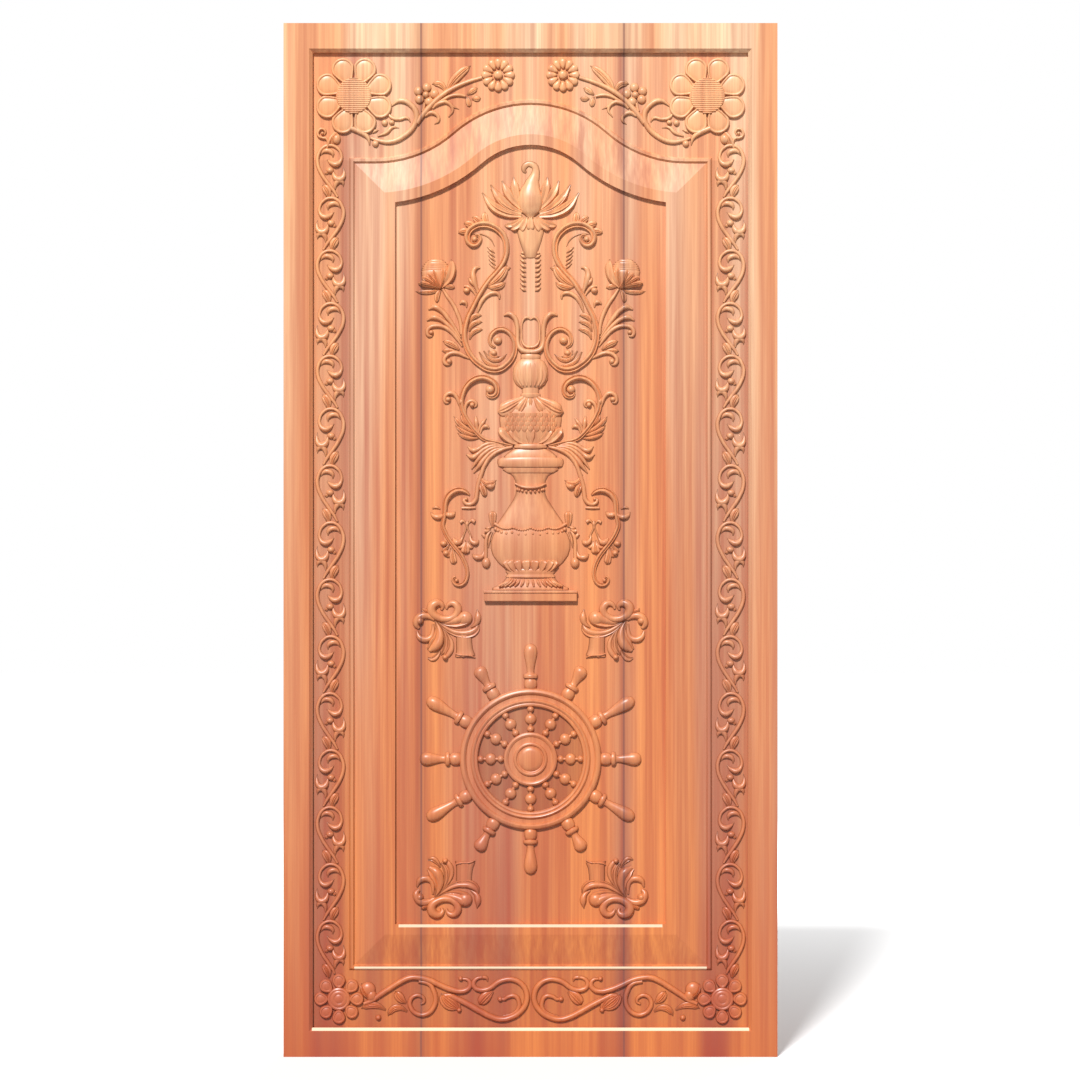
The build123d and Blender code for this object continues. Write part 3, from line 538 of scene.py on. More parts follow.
@dataclass
class Carver:
    """The carver's tools: bands, domes and turned forms planted on the carved ground.

    Attributes:
        name: Name of the ornament being carved, and of the CAD node that it stands for.
        origin: The ornament's anchor on the ground, in metres.
        pieces: What has been carved so far.
    """

    name: str
    origin: Vector
    pieces: list[bpy.types.Object] = field(default_factory=list)

    def place(self, point: Point, lift: float = 0.0) -> Vector:
        """Give the place of a point in millimetres from the anchor, lifted off the ground."""
        return self.origin + Vector((point[0] * MM, -lift * MM, point[1] * MM))

    def bands(self, rows: list[Band], relief: float, section: Section = Section.ROUND,
              lift: float = 0.0) -> None:
        """Carve tapered bands along smooth lines.

        Args:
            rows: For each band its points and its widths, spaced evenly along it, in millimetres.
            relief: Height of the widest place, in millimetres.
            section: Cross section of the bands.
            lift: Height of the bands' foot above the ground, in millimetres.
        """
        bpy.ops.object.select_all(action="DESELECT")
        bpy.ops.curve.primitive_bezier_curve_add()
        band = bpy.context.object
        curve = band.data
        curve.splines.clear()
        curve.dimensions = "2D"
        curve.fill_mode = "NONE"
        widest = 0.0
        for points, widths in rows:
            spline = curve.splines.new("BEZIER")
            spline.bezier_points.add(len(points) - 1)
            spline.resolution_u = BAND_STEPS
            spline.radius_interpolation = "CARDINAL"
            for k, (x, z) in enumerate(points):
                knot = spline.bezier_points[k]
                knot.co = (x * MM, z * MM, 0)
                knot.handle_left_type = "AUTO"
                knot.handle_right_type = "AUTO"
                width = eased(widths, k / (len(points) - 1))
                widest = max(widest, width)
                knot.radius = max(width, THINNEST_BAND) / 2 * MM
        curve.bevel_mode = "OBJECT"
        curve.bevel_object = section_curve(section)
        curve.use_fill_caps = True
        bpy.ops.object.convert(target="MESH")
        band.data.transform(Matrix.Diagonal((1, 1, relief / (widest / 2), 1)))
        band.data.transform(Matrix.Rotation(math.radians(90), 4, "X"))
        band.data.transform(Matrix.Translation(self.place((0, 0), lift)))
        bpy.ops.object.shade_smooth_by_angle(angle=BAND_CREASE)
        self.pieces.append(band)

    def leaves(self, rows: list[Leaf], relief: float, section: Section = Section.VEINED,
               tip: Tip = Tip.POINTED, lift: float = 0.0) -> None:
        """Carve leaves and petals.

        Args:
            rows: For each leaf its root, tip, width and bow to the left, in millimetres.
            relief: Height of the widest leaf, in millimetres.
            section: Cross section of the leaves.
            tip: How the leaves end.
            lift: Height of the leaves' foot above the ground, in millimetres.
        """
        bands = []
        for root, end, width, bow in rows:
            along = Vector(end) - Vector(root)
            side = Vector((-along[1], along[0])).normalized()
            points = []
            for share in LEAF_SHARES:
                spot = Vector(root) + along * share + side * bow * 4 * share * (1 - share)
                points.append((spot[0], spot[1]))
            bands.append((points, tuple(width * share for share in tip.value)))
        self.bands(bands, relief, section, lift)

    def boss(self, outline: list[Point], steps: int) -> bpy.types.Object:
        """Spin a round boss that faces forward, about the origin.

        Args:
            outline: Radii and heights above the ground, from the middle outwards.
            steps: Steps around the boss.

        Returns:
            The boss.
        """
        return spun([(radius * MM, -lift * MM, 0.0) for radius, lift in outline], (0, 1, 0), steps)

    def settle(self, form: bpy.types.Object, spot: Point) -> bpy.types.Object:
        """Move a spun form to its place on the ground and smooth it.

        Args:
            form: The form, about the origin.
            spot: Where it goes, in millimetres from the anchor.

        Returns:
            The form.
        """
        form.data.transform(Matrix.Translation(self.place(spot)))
        bpy.ops.object.shade_smooth_by_angle(angle=TURNED_CREASE)
        self.pieces.append(form)
        return form

    def petal(self, hub: Point, reach: float, outline: list[Point], angle: float, steps: int = 40,
              stretch: float = 1.5, taper: float = 0.5) -> bpy.types.Object:
        """Carve a rimmed petal that narrows towards the middle of its flower.

        Args:
            hub: Middle of the flower.
            reach: From there to the petal's round end's centre, in millimetres.
            outline: Radii and heights of the round end, from its middle outwards.
            angle: Direction of the petal, in degrees from level.
            steps: Steps around the petal.
            stretch: How much longer the inner half is than it is wide.
            taper: How much of its width the inner half loses.

        Returns:
            The petal.
        """
        form = self.boss(outline, steps)
        radius = outline[-1][0] * MM
        for vertex in form.data.vertices:
            if vertex.co.x < 0:
                vertex.co.z *= 1 + taper * vertex.co.x / radius
                vertex.co.x *= stretch
        form.data.transform(Matrix.Translation(Vector((reach * MM, 0, 0))))
        form.data.transform(Matrix.Rotation(math.radians(angle), 4, "Y"))
        return self.settle(form, hub)

    def domes(self, rows: list[Dome], relief: float) -> None:
        """Carve round or oval domes.

        Args:
            rows: For each dome its centre and its half sizes across and up, in millimetres.
            relief: Height of the domes, in millimetres.
        """
        for centre, across, up in rows:
            bpy.ops.object.select_all(action="DESELECT")
            bpy.ops.mesh.primitive_uv_sphere_add(segments=20, ring_count=12, radius=1.0)
            dome = bpy.context.object
            dome.data.transform(Matrix.Diagonal((across * MM, relief * MM, up * MM, 1)))
            dome.data.transform(Matrix.Translation(self.place(centre)))
            bpy.ops.object.shade_smooth()
            self.pieces.append(dome)

    def turned(self, outline: list[Point], relief: float, steps: int = 40,
               across: float = 0.0) -> bpy.types.Object:
        """Carve a turned form as it would leave the lathe, flattened to its relief.

        Args:
            outline: Half widths and heights from one end to the other, in millimetres.
            relief: How far the widest place stands off the ground, in millimetres.
            steps: Steps around the form.
            across: Where its middle line falls, in millimetres from the anchor.

        Returns:
            The turned form.
        """
        form = spun([(half * MM, 0.0, z * MM) for half, z in outline], (0, 0, 1), steps)
        widest = max(half for half, z in outline)
        form.data.transform(Matrix.Diagonal((1, relief / widest, 1, 1)))
        return self.settle(form, (across, 0))

    def disc(self, centre: Point, outline: list[Point], steps: int = 40) -> None:
        """Carve a round boss.

        Args:
            centre: Centre of the boss.
            outline: Radii and heights above the ground, from the middle outwards.
            steps: Steps around the boss.
        """
        self.settle(self.boss(outline, steps), centre)

    def ring_of(self, form: bpy.types.Object, centre: Point, count: int,
                reaches: tuple[float, ...] = (1.0,), grow_from: float = 0.0) -> None:
        """Copy an upright form round a centre, the first copy being the form itself.

        Args:
            form: The form to copy.
            centre: Middle of the ring.
            count: Copies in all.
            reaches: How much longer each copy is beyond grow_from, over and over round the ring.
            grow_from: Distance from the middle where the lengthening starts, in millimetres.
        """
        hub = self.place(centre)
        start = hub.z + grow_from * MM
        for k in range(1, count):
            turn = Matrix.Rotation(2 * math.pi * k / count, 4, "Y")
            copy = form.copy()
            copy.data = form.data.copy()
            bpy.context.collection.objects.link(copy)
            for vertex in copy.data.vertices:
                if grow_from and vertex.co.z > start:
                    vertex.co.z = start + (vertex.co.z - start) * reaches[k % len(reaches)]
            copy.data.transform(Matrix.Translation(hub) @ turn @ Matrix.Translation(-hub))
            self.pieces.append(copy)

    def finish(self) -> bpy.types.Object:
        """Join what was carved, dress it and let it stand for its CAD node.

        Returns:
            The finished ornament.
        """
        joined = join(self.pieces, self.name)
        dress(joined, FINISHES.timber(CARVED_TEAK))
        enter(joined, self.name)
        self.pieces = []
        return joined

    def finish_pair(self) -> bpy.types.Object:
        """Finish the ornament on the left and carve its twin on the right."""
        return reflected(self.finish(), self.name.replace("left", "right"))


def enter(ornament: bpy.types.Object, node: str) -> None:
    """Let an ornament stand for its CAD node, and report it.

    Args:
        ornament: The finished ornament.
        node: The CAD node that it replaces.
    """
    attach(ornament, "leaf")
    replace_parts(ornament, node)
    log.info("%s carved with %d faces", node, len(ornament.data.polygons))


def eased(widths: tuple[float, ...], share: float) -> float:
    """Give the width at a share of a band's length.

    Args:
        widths: Widths spaced evenly along the band.
        share: The share of the length.

    Returns:
        The width.
    """
    place = share * (len(widths) - 1)
    k = min(int(place), len(widths) - 2)
    return widths[k] + (widths[k + 1] - widths[k]) * (place - k)


def section_curve(section: Section) -> bpy.types.Object:
    """Make or reuse the closed outline that a band is drawn out with.

    Args:
        section: The cross section.

    Returns:
        The outline, which isn't in the scene.
    """
    name = "section_" + section.value
    if name in bpy.data.objects:
        return bpy.data.objects[name]
    curve = bpy.data.curves.new(name, "CURVE")
    curve.dimensions = "2D"
    spline = curve.splines.new("POLY")
    outline = SECTION_POINTS[section]
    spline.points.add(len(outline) - 1)
    for k, (across, height) in enumerate(outline):
        spline.points[k].co = (across, height, 0, 1)
    spline.use_cyclic_u = True
    return bpy.data.objects.new(name, curve)


def spun(profile: list[tuple[float, float, float]], axis: tuple[int, int, int],
         steps: int) -> bpy.types.Object:
    """Spin a line of points about an axis through the origin.

    Args:
        profile: Points in metres.
        axis: Direction of the axis.
        steps: Steps of the full turn.

    Returns:
        The spun mesh, closed on its axis.
    """
    bpy.ops.object.select_all(action="DESELECT")
    bpy.ops.mesh.primitive_plane_add(size=MM)
    form = bpy.context.object
    bpy.ops.object.mode_set(mode="EDIT")
    bpy.ops.mesh.select_all(action="SELECT")
    bpy.ops.mesh.merge(type="CENTER")
    last = Vector((0, 0, 0))
    for k, point in enumerate(profile):
        move = Vector(point) - last
        last = Vector(point)
        if k == 0:
            bpy.ops.transform.translate(value=move)
        else:
            bpy.ops.mesh.extrude_region_move(TRANSFORM_OT_translate={"value": move})
    bpy.ops.mesh.select_all(action="SELECT")
    bpy.ops.mesh.spin(steps=steps, angle=2 * math.pi, center=(0, 0, 0), axis=axis)
    bpy.ops.mesh.select_all(action="SELECT")
    bpy.ops.mesh.remove_doubles(threshold=DOUBLES)
    bpy.ops.mesh.normals_make_consistent(inside=False)
    bpy.ops.object.mode_set(mode="OBJECT")
    return form


def join(pieces: list[bpy.types.Object], name: str) -> bpy.types.Object:
    """Join meshes into one object whose place is in its mesh.

    Args:
        pieces: The objects to join.
        name: Name of the joined object.

    Returns:
        The joined object.
    """
    bpy.ops.object.select_all(action="DESELECT")
    for piece in pieces:
        piece.select_set(True)
    bpy.context.view_layer.objects.active = pieces[0]
    if len(pieces) > 1:
        bpy.ops.object.join()
    bpy.ops.object.transform_apply(location=True, rotation=True, scale=True)
    joined = bpy.context.object
    joined.name = name
    joined.data.name = name
    return joined


def reflected(original: bpy.types.Object, name: str, axis: Axis = Axis.ACROSS,
              level: float = 0.0) -> bpy.types.Object:
    """Carve the twin of an ornament.

    Args:
        original: The finished ornament.
        name: Name of the twin, and of the CAD node that it stands for.
        axis: The direction that is turned round.
        level: Place of the mirror in that direction, in metres.

    Returns:
        The twin.
    """
    twin = original.copy()
    twin.data = original.data.copy()
    bpy.context.collection.objects.link(twin)
    twin.parent = None
    twin.name = name
    twin.data.name = name
    facing = Vector(axis.value)
    middle = facing * level
    flip = Matrix.Translation(middle) @ Matrix.Scale(-1, 4, facing) @ Matrix.Translation(-middle)
    twin.data.transform(flip)
    twin.data.flip_normals()
    if "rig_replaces" in twin:
        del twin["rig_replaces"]
    enter(twin, name)
    return twin


def mirrored_row(row: Band) -> Band:
    """Turn a band's points round the ornament's own upright middle."""
    points, widths = row
    return [(-x, z) for x, z in points], widths


def fanned(count: int, reach: float, turn: float) -> list[float]:
    """Space forms round the front of a turned body.

    Args:
        count: How many there are.
        reach: The body's radius, in millimetres.
        turn: Angle from one form to the next.

    Returns:
        Their places across, from left to right.
    """
    return [reach * math.sin((k - (count - 1) / 2) * turn) for k in range(count)]


def tree_anchor() -> Vector:
    """Give the wheel's centre on the ground, which the tree of ornament is measured from."""
    low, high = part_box("wheel_rim")
    return Vector(((low.x + high.x) / 2, GROUND, (low.z + high.z) / 2))


def corner_anchor() -> Vector:
    """Give the upper left corner of the frame's opening on the ground."""
    return Vector((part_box("jamb_hinge_side")[1].x, GROUND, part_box("frame_head")[0].z))


def foot_anchor() -> Vector:
    """Give the middle of the sill's upper edge on the ground."""
    return Vector((0.0, GROUND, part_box("frame_sill")[1].z))


@dataclass
class BorderScrolls:
    """The running scroll that climbs each long border, every unit the mirror of the one above.

    Attributes:
        inset: From the frame's opening to the scroll's middle line, in millimetres.
        top: From the head down to the first unit's arch, in millimetres.
        foot: From the sill up to the end of the last unit, in millimetres.
        pitch: Wished height of a unit, in millimetres.
        short_units: How many units at the top are shorter.
        short_share: Their height as a share of the others'.
        relief: Height of the stems, in millimetres.
        drawn: Height at which a unit's points are drawn, in millimetres.
    """

    inset: float = 35.0
    top: float = 185.0
    foot: float = 98.0
    pitch: float = 111.3
    short_units: int = 5
    short_share: float = 0.925
    relief: float = 9.5
    drawn: float = 105.5

    def build(self) -> None:
        """Carve the left border and reflect it."""
        corner = corner_anchor()
        length = (corner.z - foot_anchor().z) / MM - self.top - self.foot
        units = max(self.short_units + 1, round(length / self.pitch))
        unit = length / (units - self.short_units * (1 - self.short_share))
        carver = Carver("border_scrolls_left",
                        corner + Vector((self.inset * MM, 0, -self.top * MM)))
        stems, hooks, leaves, buds = [], [], [], []
        top = 0.0
        for k in range(units + 1):
            side = -1 if k % 2 else 1
            tall = unit * (self.short_share if k < self.short_units else 1)
            stretch = tall / self.drawn

            def at(points: list[Point]) -> list[Point]:
                """Turn drawn points to this unit's side and stretch them down from its top."""
                return [(side * x, top + z * stretch) for x, z in points]

            leaves.append((*at([(3, 1), (16, 26)]), 17, side * 3))
            leaves.append((*at([(8, 3), (7, 23)]), 10, side * -1))
            if k == units:
                break
            stem = [(-7, -28), (1, -35), (12, -38), (21, -30), (21, -16), (13, -5), (1, 0),
                    (-14, -4), (-24, -18), (-26, -35), (-18, -57), (-2, -80)]
            stem += [(7, -92), (14, 2 - self.drawn)] if k < units - 1 else [(5, -90), (8, -97)]
            stems.append((at(stem), (2, 9, 12, 8, 6.5, 7, 7, 7.5, 8, 8.5, 8.5, 8, 7, 5)))
            hooks.append((at([(-20, -21), (-13, -12), (-3, -11), (4, -16), (5, -24)]),
                          (1.2, 8.5, 10.4, 8.5, 2.4)))
            hooks.append((at([(5, -52), (8, -62), (15, -68), (23, -66), (27, -58), (26, -44)]),
                          (3.7, 11, 13.4, 12.2, 8.5, 1.2)))
            hooks.append((at([(9, -88), (11, -77), (17, -71), (24, -74), (26, -83)]),
                          (3.7, 9.8, 11, 8.5, 1.2)))
            buds.append((at([(-1, -50)])[0], 8, 6.5))
            leaves.append((*at([(-4, -51), (-12, -57)]), 8, side * 1))
            top -= tall
        carver.bands(stems, self.relief)
        carver.bands(hooks, self.relief - 1)
        carver.leaves(leaves, self.relief)
        carver.domes(buds, self.relief - 1)
        carver.finish_pair()


@dataclass
class CornerRosettes:
    """The large eight-petalled rosettes in the upper corners, with their cross-cut cores.

    Attributes:
        centre: Middle of the rosette, in millimetres from the corner.
        petals: How many petals it has.
        petal_ring: From the middle to the petals' round ends, in millimetres.
        core: Radius of the core.
        cut_reach: From the middle to the last cut across the core.
        cut_pitch: Distance from one cut to the next.
        cut_inset: How far the cuts end inside the core's edge.
        cut_relief: Height of the ridges between the cuts.
        cut_lift: Height of their foot above the ground.
    """

    centre: Point = (82.0, -86.0)
    petals: int = 8
    petal_ring: float = 57.0
    core: float = 36.0
    cut_reach: float = 34.2
    cut_pitch: float = 3.8
    cut_inset: float = 2.2
    cut_relief: float = 2.2
    cut_lift: float = 8.0

    def build(self) -> None:
        """Carve the left rosette and reflect it."""
        carver = Carver("corner_rosette_left", corner_anchor())
        petal = carver.petal(self.centre, self.petal_ring, [
            (0, 6.8), (9, 6.6), (15, 6.0), (17.2, 5.2), (18.4, 6.9), (20, 7.6), (21.4, 7.4),
            (22.6, 6.2), (23.2, 3), (23.2, -0.5),
        ], 180 / self.petals)
        carver.ring_of(petal, self.centre, self.petals)
        carver.disc(self.centre, [
            (0, 8.9), (28, 8.7), (34, 8.1), (35.6, 6.4), (36, 4), (36, -0.5),
        ])
        ridges = []
        x0, z0 = self.centre
        z = -self.cut_reach
        while z <= self.cut_reach:
            half = math.sqrt(self.core**2 - z**2) - self.cut_inset
            ridges.append(([(x0 + half * share, z0 + z) for share in (-1, -0.5, 0, 0.5, 1)],
                           (1.6, 2.2, 2.2, 2.2, 1.6)))
            z += self.cut_pitch
        carver.bands(ridges, self.cut_relief, lift=self.cut_lift)
        carver.finish_pair()


@dataclass
class CornerSprays:
    """The leafy stem, curl and daisy between each upper rosette and the arch.

    Attributes:
        daisy: Middle of the daisy, in millimetres from the corner.
        daisy_petals: How many petals it has.
        relief: Height of the main stems, in millimetres.
    """

    daisy: Point = (371, -44)
    daisy_petals: int = 12
    relief: float = 8.5

    def build(self) -> None:
        """Carve the left spray and reflect it."""
        carver = Carver("corner_spray_left", corner_anchor())
        carver.bands([
            ([(76, -150.3), (96.6, -159.3), (110, -169.7), (113.8, -184.6)],
             (11.2, 11.2, 8.8, 2.5)),
            ([(155.6, -107), (175.7, -95.1), (198.1, -105.5), (207.8, -123.4), (202.6, -145.8),
              (180.2, -167.5), (154.8, -177.9), (132.4, -175.7), (116, -170.4)],
             (3.8, 10, 11.2, 11.9, 11.2, 11.2, 10, 8.8, 6.2)),
            ([(207.9, -140.3), (225.2, -117.5), (252.6, -89.2), (278.2, -71.9), (311.1, -57.3),
              (338.5, -49.1)], (11.2, 11.2, 10.6, 10, 8.8, 7.5)),
        ], self.relief)
        carver.bands([
            ([(148.1, -116), (157.8, -129.4), (172.7, -132.4), (189.1, -130.1), (195.1, -138.4)],
             (2.5, 7.5, 7.5, 6.2, 2.5)),
            ([(129.4, -166.7), (147.3, -159.3), (159.3, -148.8), (172.7, -150.3)],
             (3.8, 7.5, 6.2, 1.2)),
            ([(119, -161), (125, -156), (132, -155)], (2.5, 6.2, 1.2)),
            ([(219.7, -117), (222, -110), (223.4, -100)], (6.2, 6.2)),
            ([(253, -98.3), (278.2, -85.5), (292, -84), (305.6, -86.5)], (6.2, 7.5, 7.5, 6.2)),
            ([(240, -111), (247.1, -103.8), (258, -99), (267.2, -98.3), (280, -113),
              (271.8, -128.4)], (5, 8.8, 8.8, 7.5, 2.5)),
            ([(267.2, -98.3), (278.2, -105.6), (292.8, -113)], (6.2, 6.2, 1.2)),
            ([(224, -126), (238, -119.3), (250.8, -127.5), (250.8, -136.6), (243.5, -143)],
             (6.2, 8.8, 7.5, 6.2, 1.2)),
        ], self.relief - 1.5)
        carver.leaves([
            ((267, -78), (316.5, -25.3), 18.4, 5),
            ((265, -79), (238.1, -62.7), 13.8, -9),
            ((309.2, -83.7), (330, -70), 12.6, 1),
            ((318, -92), (337, -91), 11.5, 0),
            ((309.2, -87.4), (314, -109), 11.5, 0),
        ], self.relief + 0.5)
        flower = [(211.5, -76.4), (228, -69.1), (243.5, -81.9), (232.5, -97.4), (213.4, -92.8)]
        carver.domes([(spot, 9.4, 9.4) for spot in flower], self.relief - 0.5)
        carver.domes([((226.1, -83.7), 7, 7)], self.relief + 1.5)
        carver.domes([((143.6, -139.9), 6.5, 6.5), ((157.8, -139.1), 6, 5),
                      ((125, -181.6), 7, 7), ((19, -161), 3.5, 3.5)], self.relief - 0.5)
        carver.bands([
            ([(23, -164), (25, -157), (18, -152), (11, -157), (11, -166), (18, -170), (27, -172),
              (30, -181), (28, -192)], (3, 5, 6, 6, 6, 6, 6, 5, 4)),
            ([(45, -159), (38, -167), (32, -178), (29, -190)], (4, 7, 7, 5)),
        ], self.relief - 0.5)
        carver.domes([((47, -172), 9, 11)], self.relief + 0.5)
        petal = carver.petal(self.daisy, 26.0,
                             [(0, 7.6), (4, 7.2), (6.4, 5.8), (7.6, 3.2), (7.9, -0.5)], 0, 28,
                             1.9, 0.4)
        carver.ring_of(petal, self.daisy, self.daisy_petals)
        carver.disc(self.daisy, [(0, 9.5), (4, 9.2), (7, 7.8), (9, 5), (9.2, -0.5)])
        carver.finish_pair()


@dataclass
class FootRosettes:
    """The small rosettes and ribbed buds in the lower corners.

    Attributes:
        centre: Middle of the rosette, in millimetres from the sill's middle.
        bud: Middle of the bud.
        petals: How many petals the rosette has.
        petal_ring: From its middle to the petals' round ends.
    """

    centre: Point = (-384, 56.5)
    bud: Point = (-326, 75)
    petals: int = 8
    petal_ring: float = 36.5

    def build(self) -> None:
        """Carve the left rosette with its bud and reflect it."""
        carver = Carver("foot_rosette_left", foot_anchor())
        petal = carver.petal(self.centre, self.petal_ring, [
            (0, 7.6), (5, 7.4), (8, 6.4), (9.6, 7.6), (11.8, 7.2), (13.4, 4.5), (13.8, -0.5),
        ], 0, 28, 1.2, 0.3)
        carver.ring_of(petal, self.centre, self.petals)
        carver.disc(self.centre, [
            (0, 10.4), (6, 10), (9, 8.8), (11, 9.6), (15, 9.2), (17, 7.8), (19.5, 8.6), (22, 7.4),
            (23.6, 4), (23.8, -0.5),
        ])
        x, z = self.bud
        carver.domes([((x, z), 16, 16), ((x + 7, z - 12), 11, 13)], 9.5)
        carver.leaves([((x + 15, z - 20), (x - 13, z + 13), 13, 7),
                       ((x + 13, z - 22), (x - 16, z - 2), 11, -3)], 11)
        carver.finish_pair()


@dataclass
class FootScrolls:
    """The scrolling band along the foot of the leaf.

    Attributes:
        relief: Height of the main stems, in millimetres.
    """

    relief: float = 8.5

    def build(self) -> None:
        """Carve the left half and reflect it."""
        carver = Carver("foot_scroll_left", foot_anchor())
        carver.bands([
            ([(-158.5, 62), (-126.6, 46), (-101.1, 31.6), (-78.8, 20.4), (-59.6, 15.6),
              (-38.9, 19.6), (-19.8, 31.6), (-8.6, 49.2), (-8.6, 70), (-18.2, 86), (-34.1, 94.8),
              (-51.7, 94.8), (-66, 89.2), (-78.8, 79.6), (-89.9, 74.8), (-104, 75), (-112.3, 80),
              (-113.9, 89.2), (-107.5, 97.2), (-97.9, 99.6)],
             (12.6, 13.3, 12.6, 12.6, 11.9, 11.2, 11.2, 11.2, 9.8, 7)),
            ([(-139.4, 96.4), (-125, 94), (-121.1, 84.4), (-126, 76), (-139.4, 71.6),
              (-158.5, 74.8), (-179.3, 82.8), (-203.2, 94), (-222.3, 98.8), (-241.4, 99),
              (-259.3, 91.6), (-278.6, 79.6), (-299.4, 66.1), (-319.3, 52.6), (-334, 46.6)],
             (5.6, 9.8, 11.9, 12.6, 12.6, 12.6, 12.6, 11.9, 8.4)),
        ], self.relief)
        carver.bands([
            ([(-61.2, 57.2), (-53.3, 55.6), (-45.3, 60.4), (-30.9, 62), (-23, 49.2), (-24.6, 36.4),
              (-35.7, 26.8), (-54.9, 22)], (5.6, 8.4, 9.8, 9.8, 8.4, 4.2)),
            ([(-223.9, 91.6), (-203.2, 86), (-194.4, 73.2), (-190, 56), (-195, 38), (-209, 26),
              (-226, 26), (-239, 37), (-241, 53), (-231, 63), (-218, 61), (-213, 51), (-220, 46)],
             (8.4, 11.2, 11.2, 10.5, 9.8, 8.4, 5.6)),
            ([(-96, 100), (-88, 98), (-86, 91)], (8.4, 7, 2.8)),
        ], self.relief - 1)
        carver.leaves([
            ((-75.6, 71.6), (-103, 44), 23, -2),
            ((-249.6, 48), (-271, 72), 18.9, 2),
            ((-247.4, 31), (-286, 21), 14.9, -13),
            ((-290.5, 34), (-340, 36), 14.9, -9),
            ((-143, 37), (-179, 68), 20.2, 9),
            ((-141, 34), (-179, 66), 20.2, -1),
            ((-143, 30), (-178, 62), 20.2, -10),
        ], self.relief + 0.5)
        carver.domes([((-305, 19), 6, 6), ((-143, 34), 5, 5), ((-61, 56), 5.5, 5.5),
                      ((-140, 97), 5, 5)], self.relief - 0.5)
        carver.finish_pair()


@dataclass
class Finial:
    """The bird on its lotus, with the sepals, the cone and the hanging ropes below.

    Attributes:
        rope_turns: Dashes in each rope.
        rope_pitch: Distance between them, in millimetres.
        rope_top: Height of the first dash above the wheel's centre, in millimetres.
    """

    rope_turns: int = 8
    rope_pitch: float = 9.4
    rope_top: float = 1008.0

    def build(self) -> None:
        """Carve the bird, the petals, the cone and the ropes."""
        anchor = tree_anchor()
        bird = Carver("crest_bird", anchor)
        bird.bands([([(0, 1085), (0, 1095), (0, 1107), (0, 1120), (0, 1133), (2, 1146), (5, 1158),
                      (9, 1169), (10.5, 1179), (8, 1188), (1, 1192), (-6, 1192), (-12, 1187),
                      (-13, 1179), (-9, 1175)],
                     (14, 36, 48, 52, 47, 36, 27, 20, 16, 14, 13, 12, 12, 9, 5))], 14)
        bird.finish()
        petals = Carver("lotus_petals_left", anchor)
        petals.bands([
            ([(-24, 1117), (-29, 1132), (-32, 1149), (-34, 1166)], (12, 17, 17, 3)),
            ([(-19, 1103), (-35, 1119), (-48, 1139), (-57, 1159)], (9, 15, 17, 3)),
            ([(-18, 1094), (-42, 1105), (-63, 1125), (-80, 1151)], (9, 17, 19, 3)),
            ([(-18, 1088), (-48, 1093), (-76, 1109), (-97, 1135)], (9, 18, 20, 3)),
        ], 11, Section.ROLLED)
        petals.bands([
            ([(-22, 1095), (-44, 1104), (-64, 1120), (-80, 1142)], (2, 5, 5, 1)),
            ([(-22, 1089), (-50, 1095), (-75, 1109), (-92, 1129)], (2, 5, 5, 1)),
        ], 10)
        petals.finish_pair()
        foot = Carver("finial_cone_and_sepals", anchor)
        foot.turned([(27, 1073), (27, 1055), (22, 1037), (16, 1019), (11, 1005), (0, 1004)], 6)
        foot.leaves([
            ((-14, 1087), (-52, 1069), 13, 5), ((14, 1087), (52, 1069), 13, -5),
            ((-12, 1086), (-41, 1062), 15, 4), ((12, 1086), (41, 1062), 15, -4),
            ((-8, 1086), (-22, 1058), 15, 2), ((8, 1086), (22, 1058), 15, -2),
            ((0, 1087), (0, 1058), 17, 0),
        ], 11, Section.ROLLED, Tip.ROUNDED)
        foot.finish()
        ropes = Carver("rope_strings", anchor)
        turns = []
        for side in (-1, 1):
            for k in range(self.rope_turns):
                z = self.rope_top - self.rope_pitch * k
                turns.append(([(side * 9, z - 5), (side * 14.5, z - 1), (side * 20.5, z + 3)],
                              (2, 6.5, 3)))
            turns.append(([(side * 16, 1013), (side * 15, 1018)], (7, 3)))
        ropes.bands(turns, 6)
        ropes.finish()


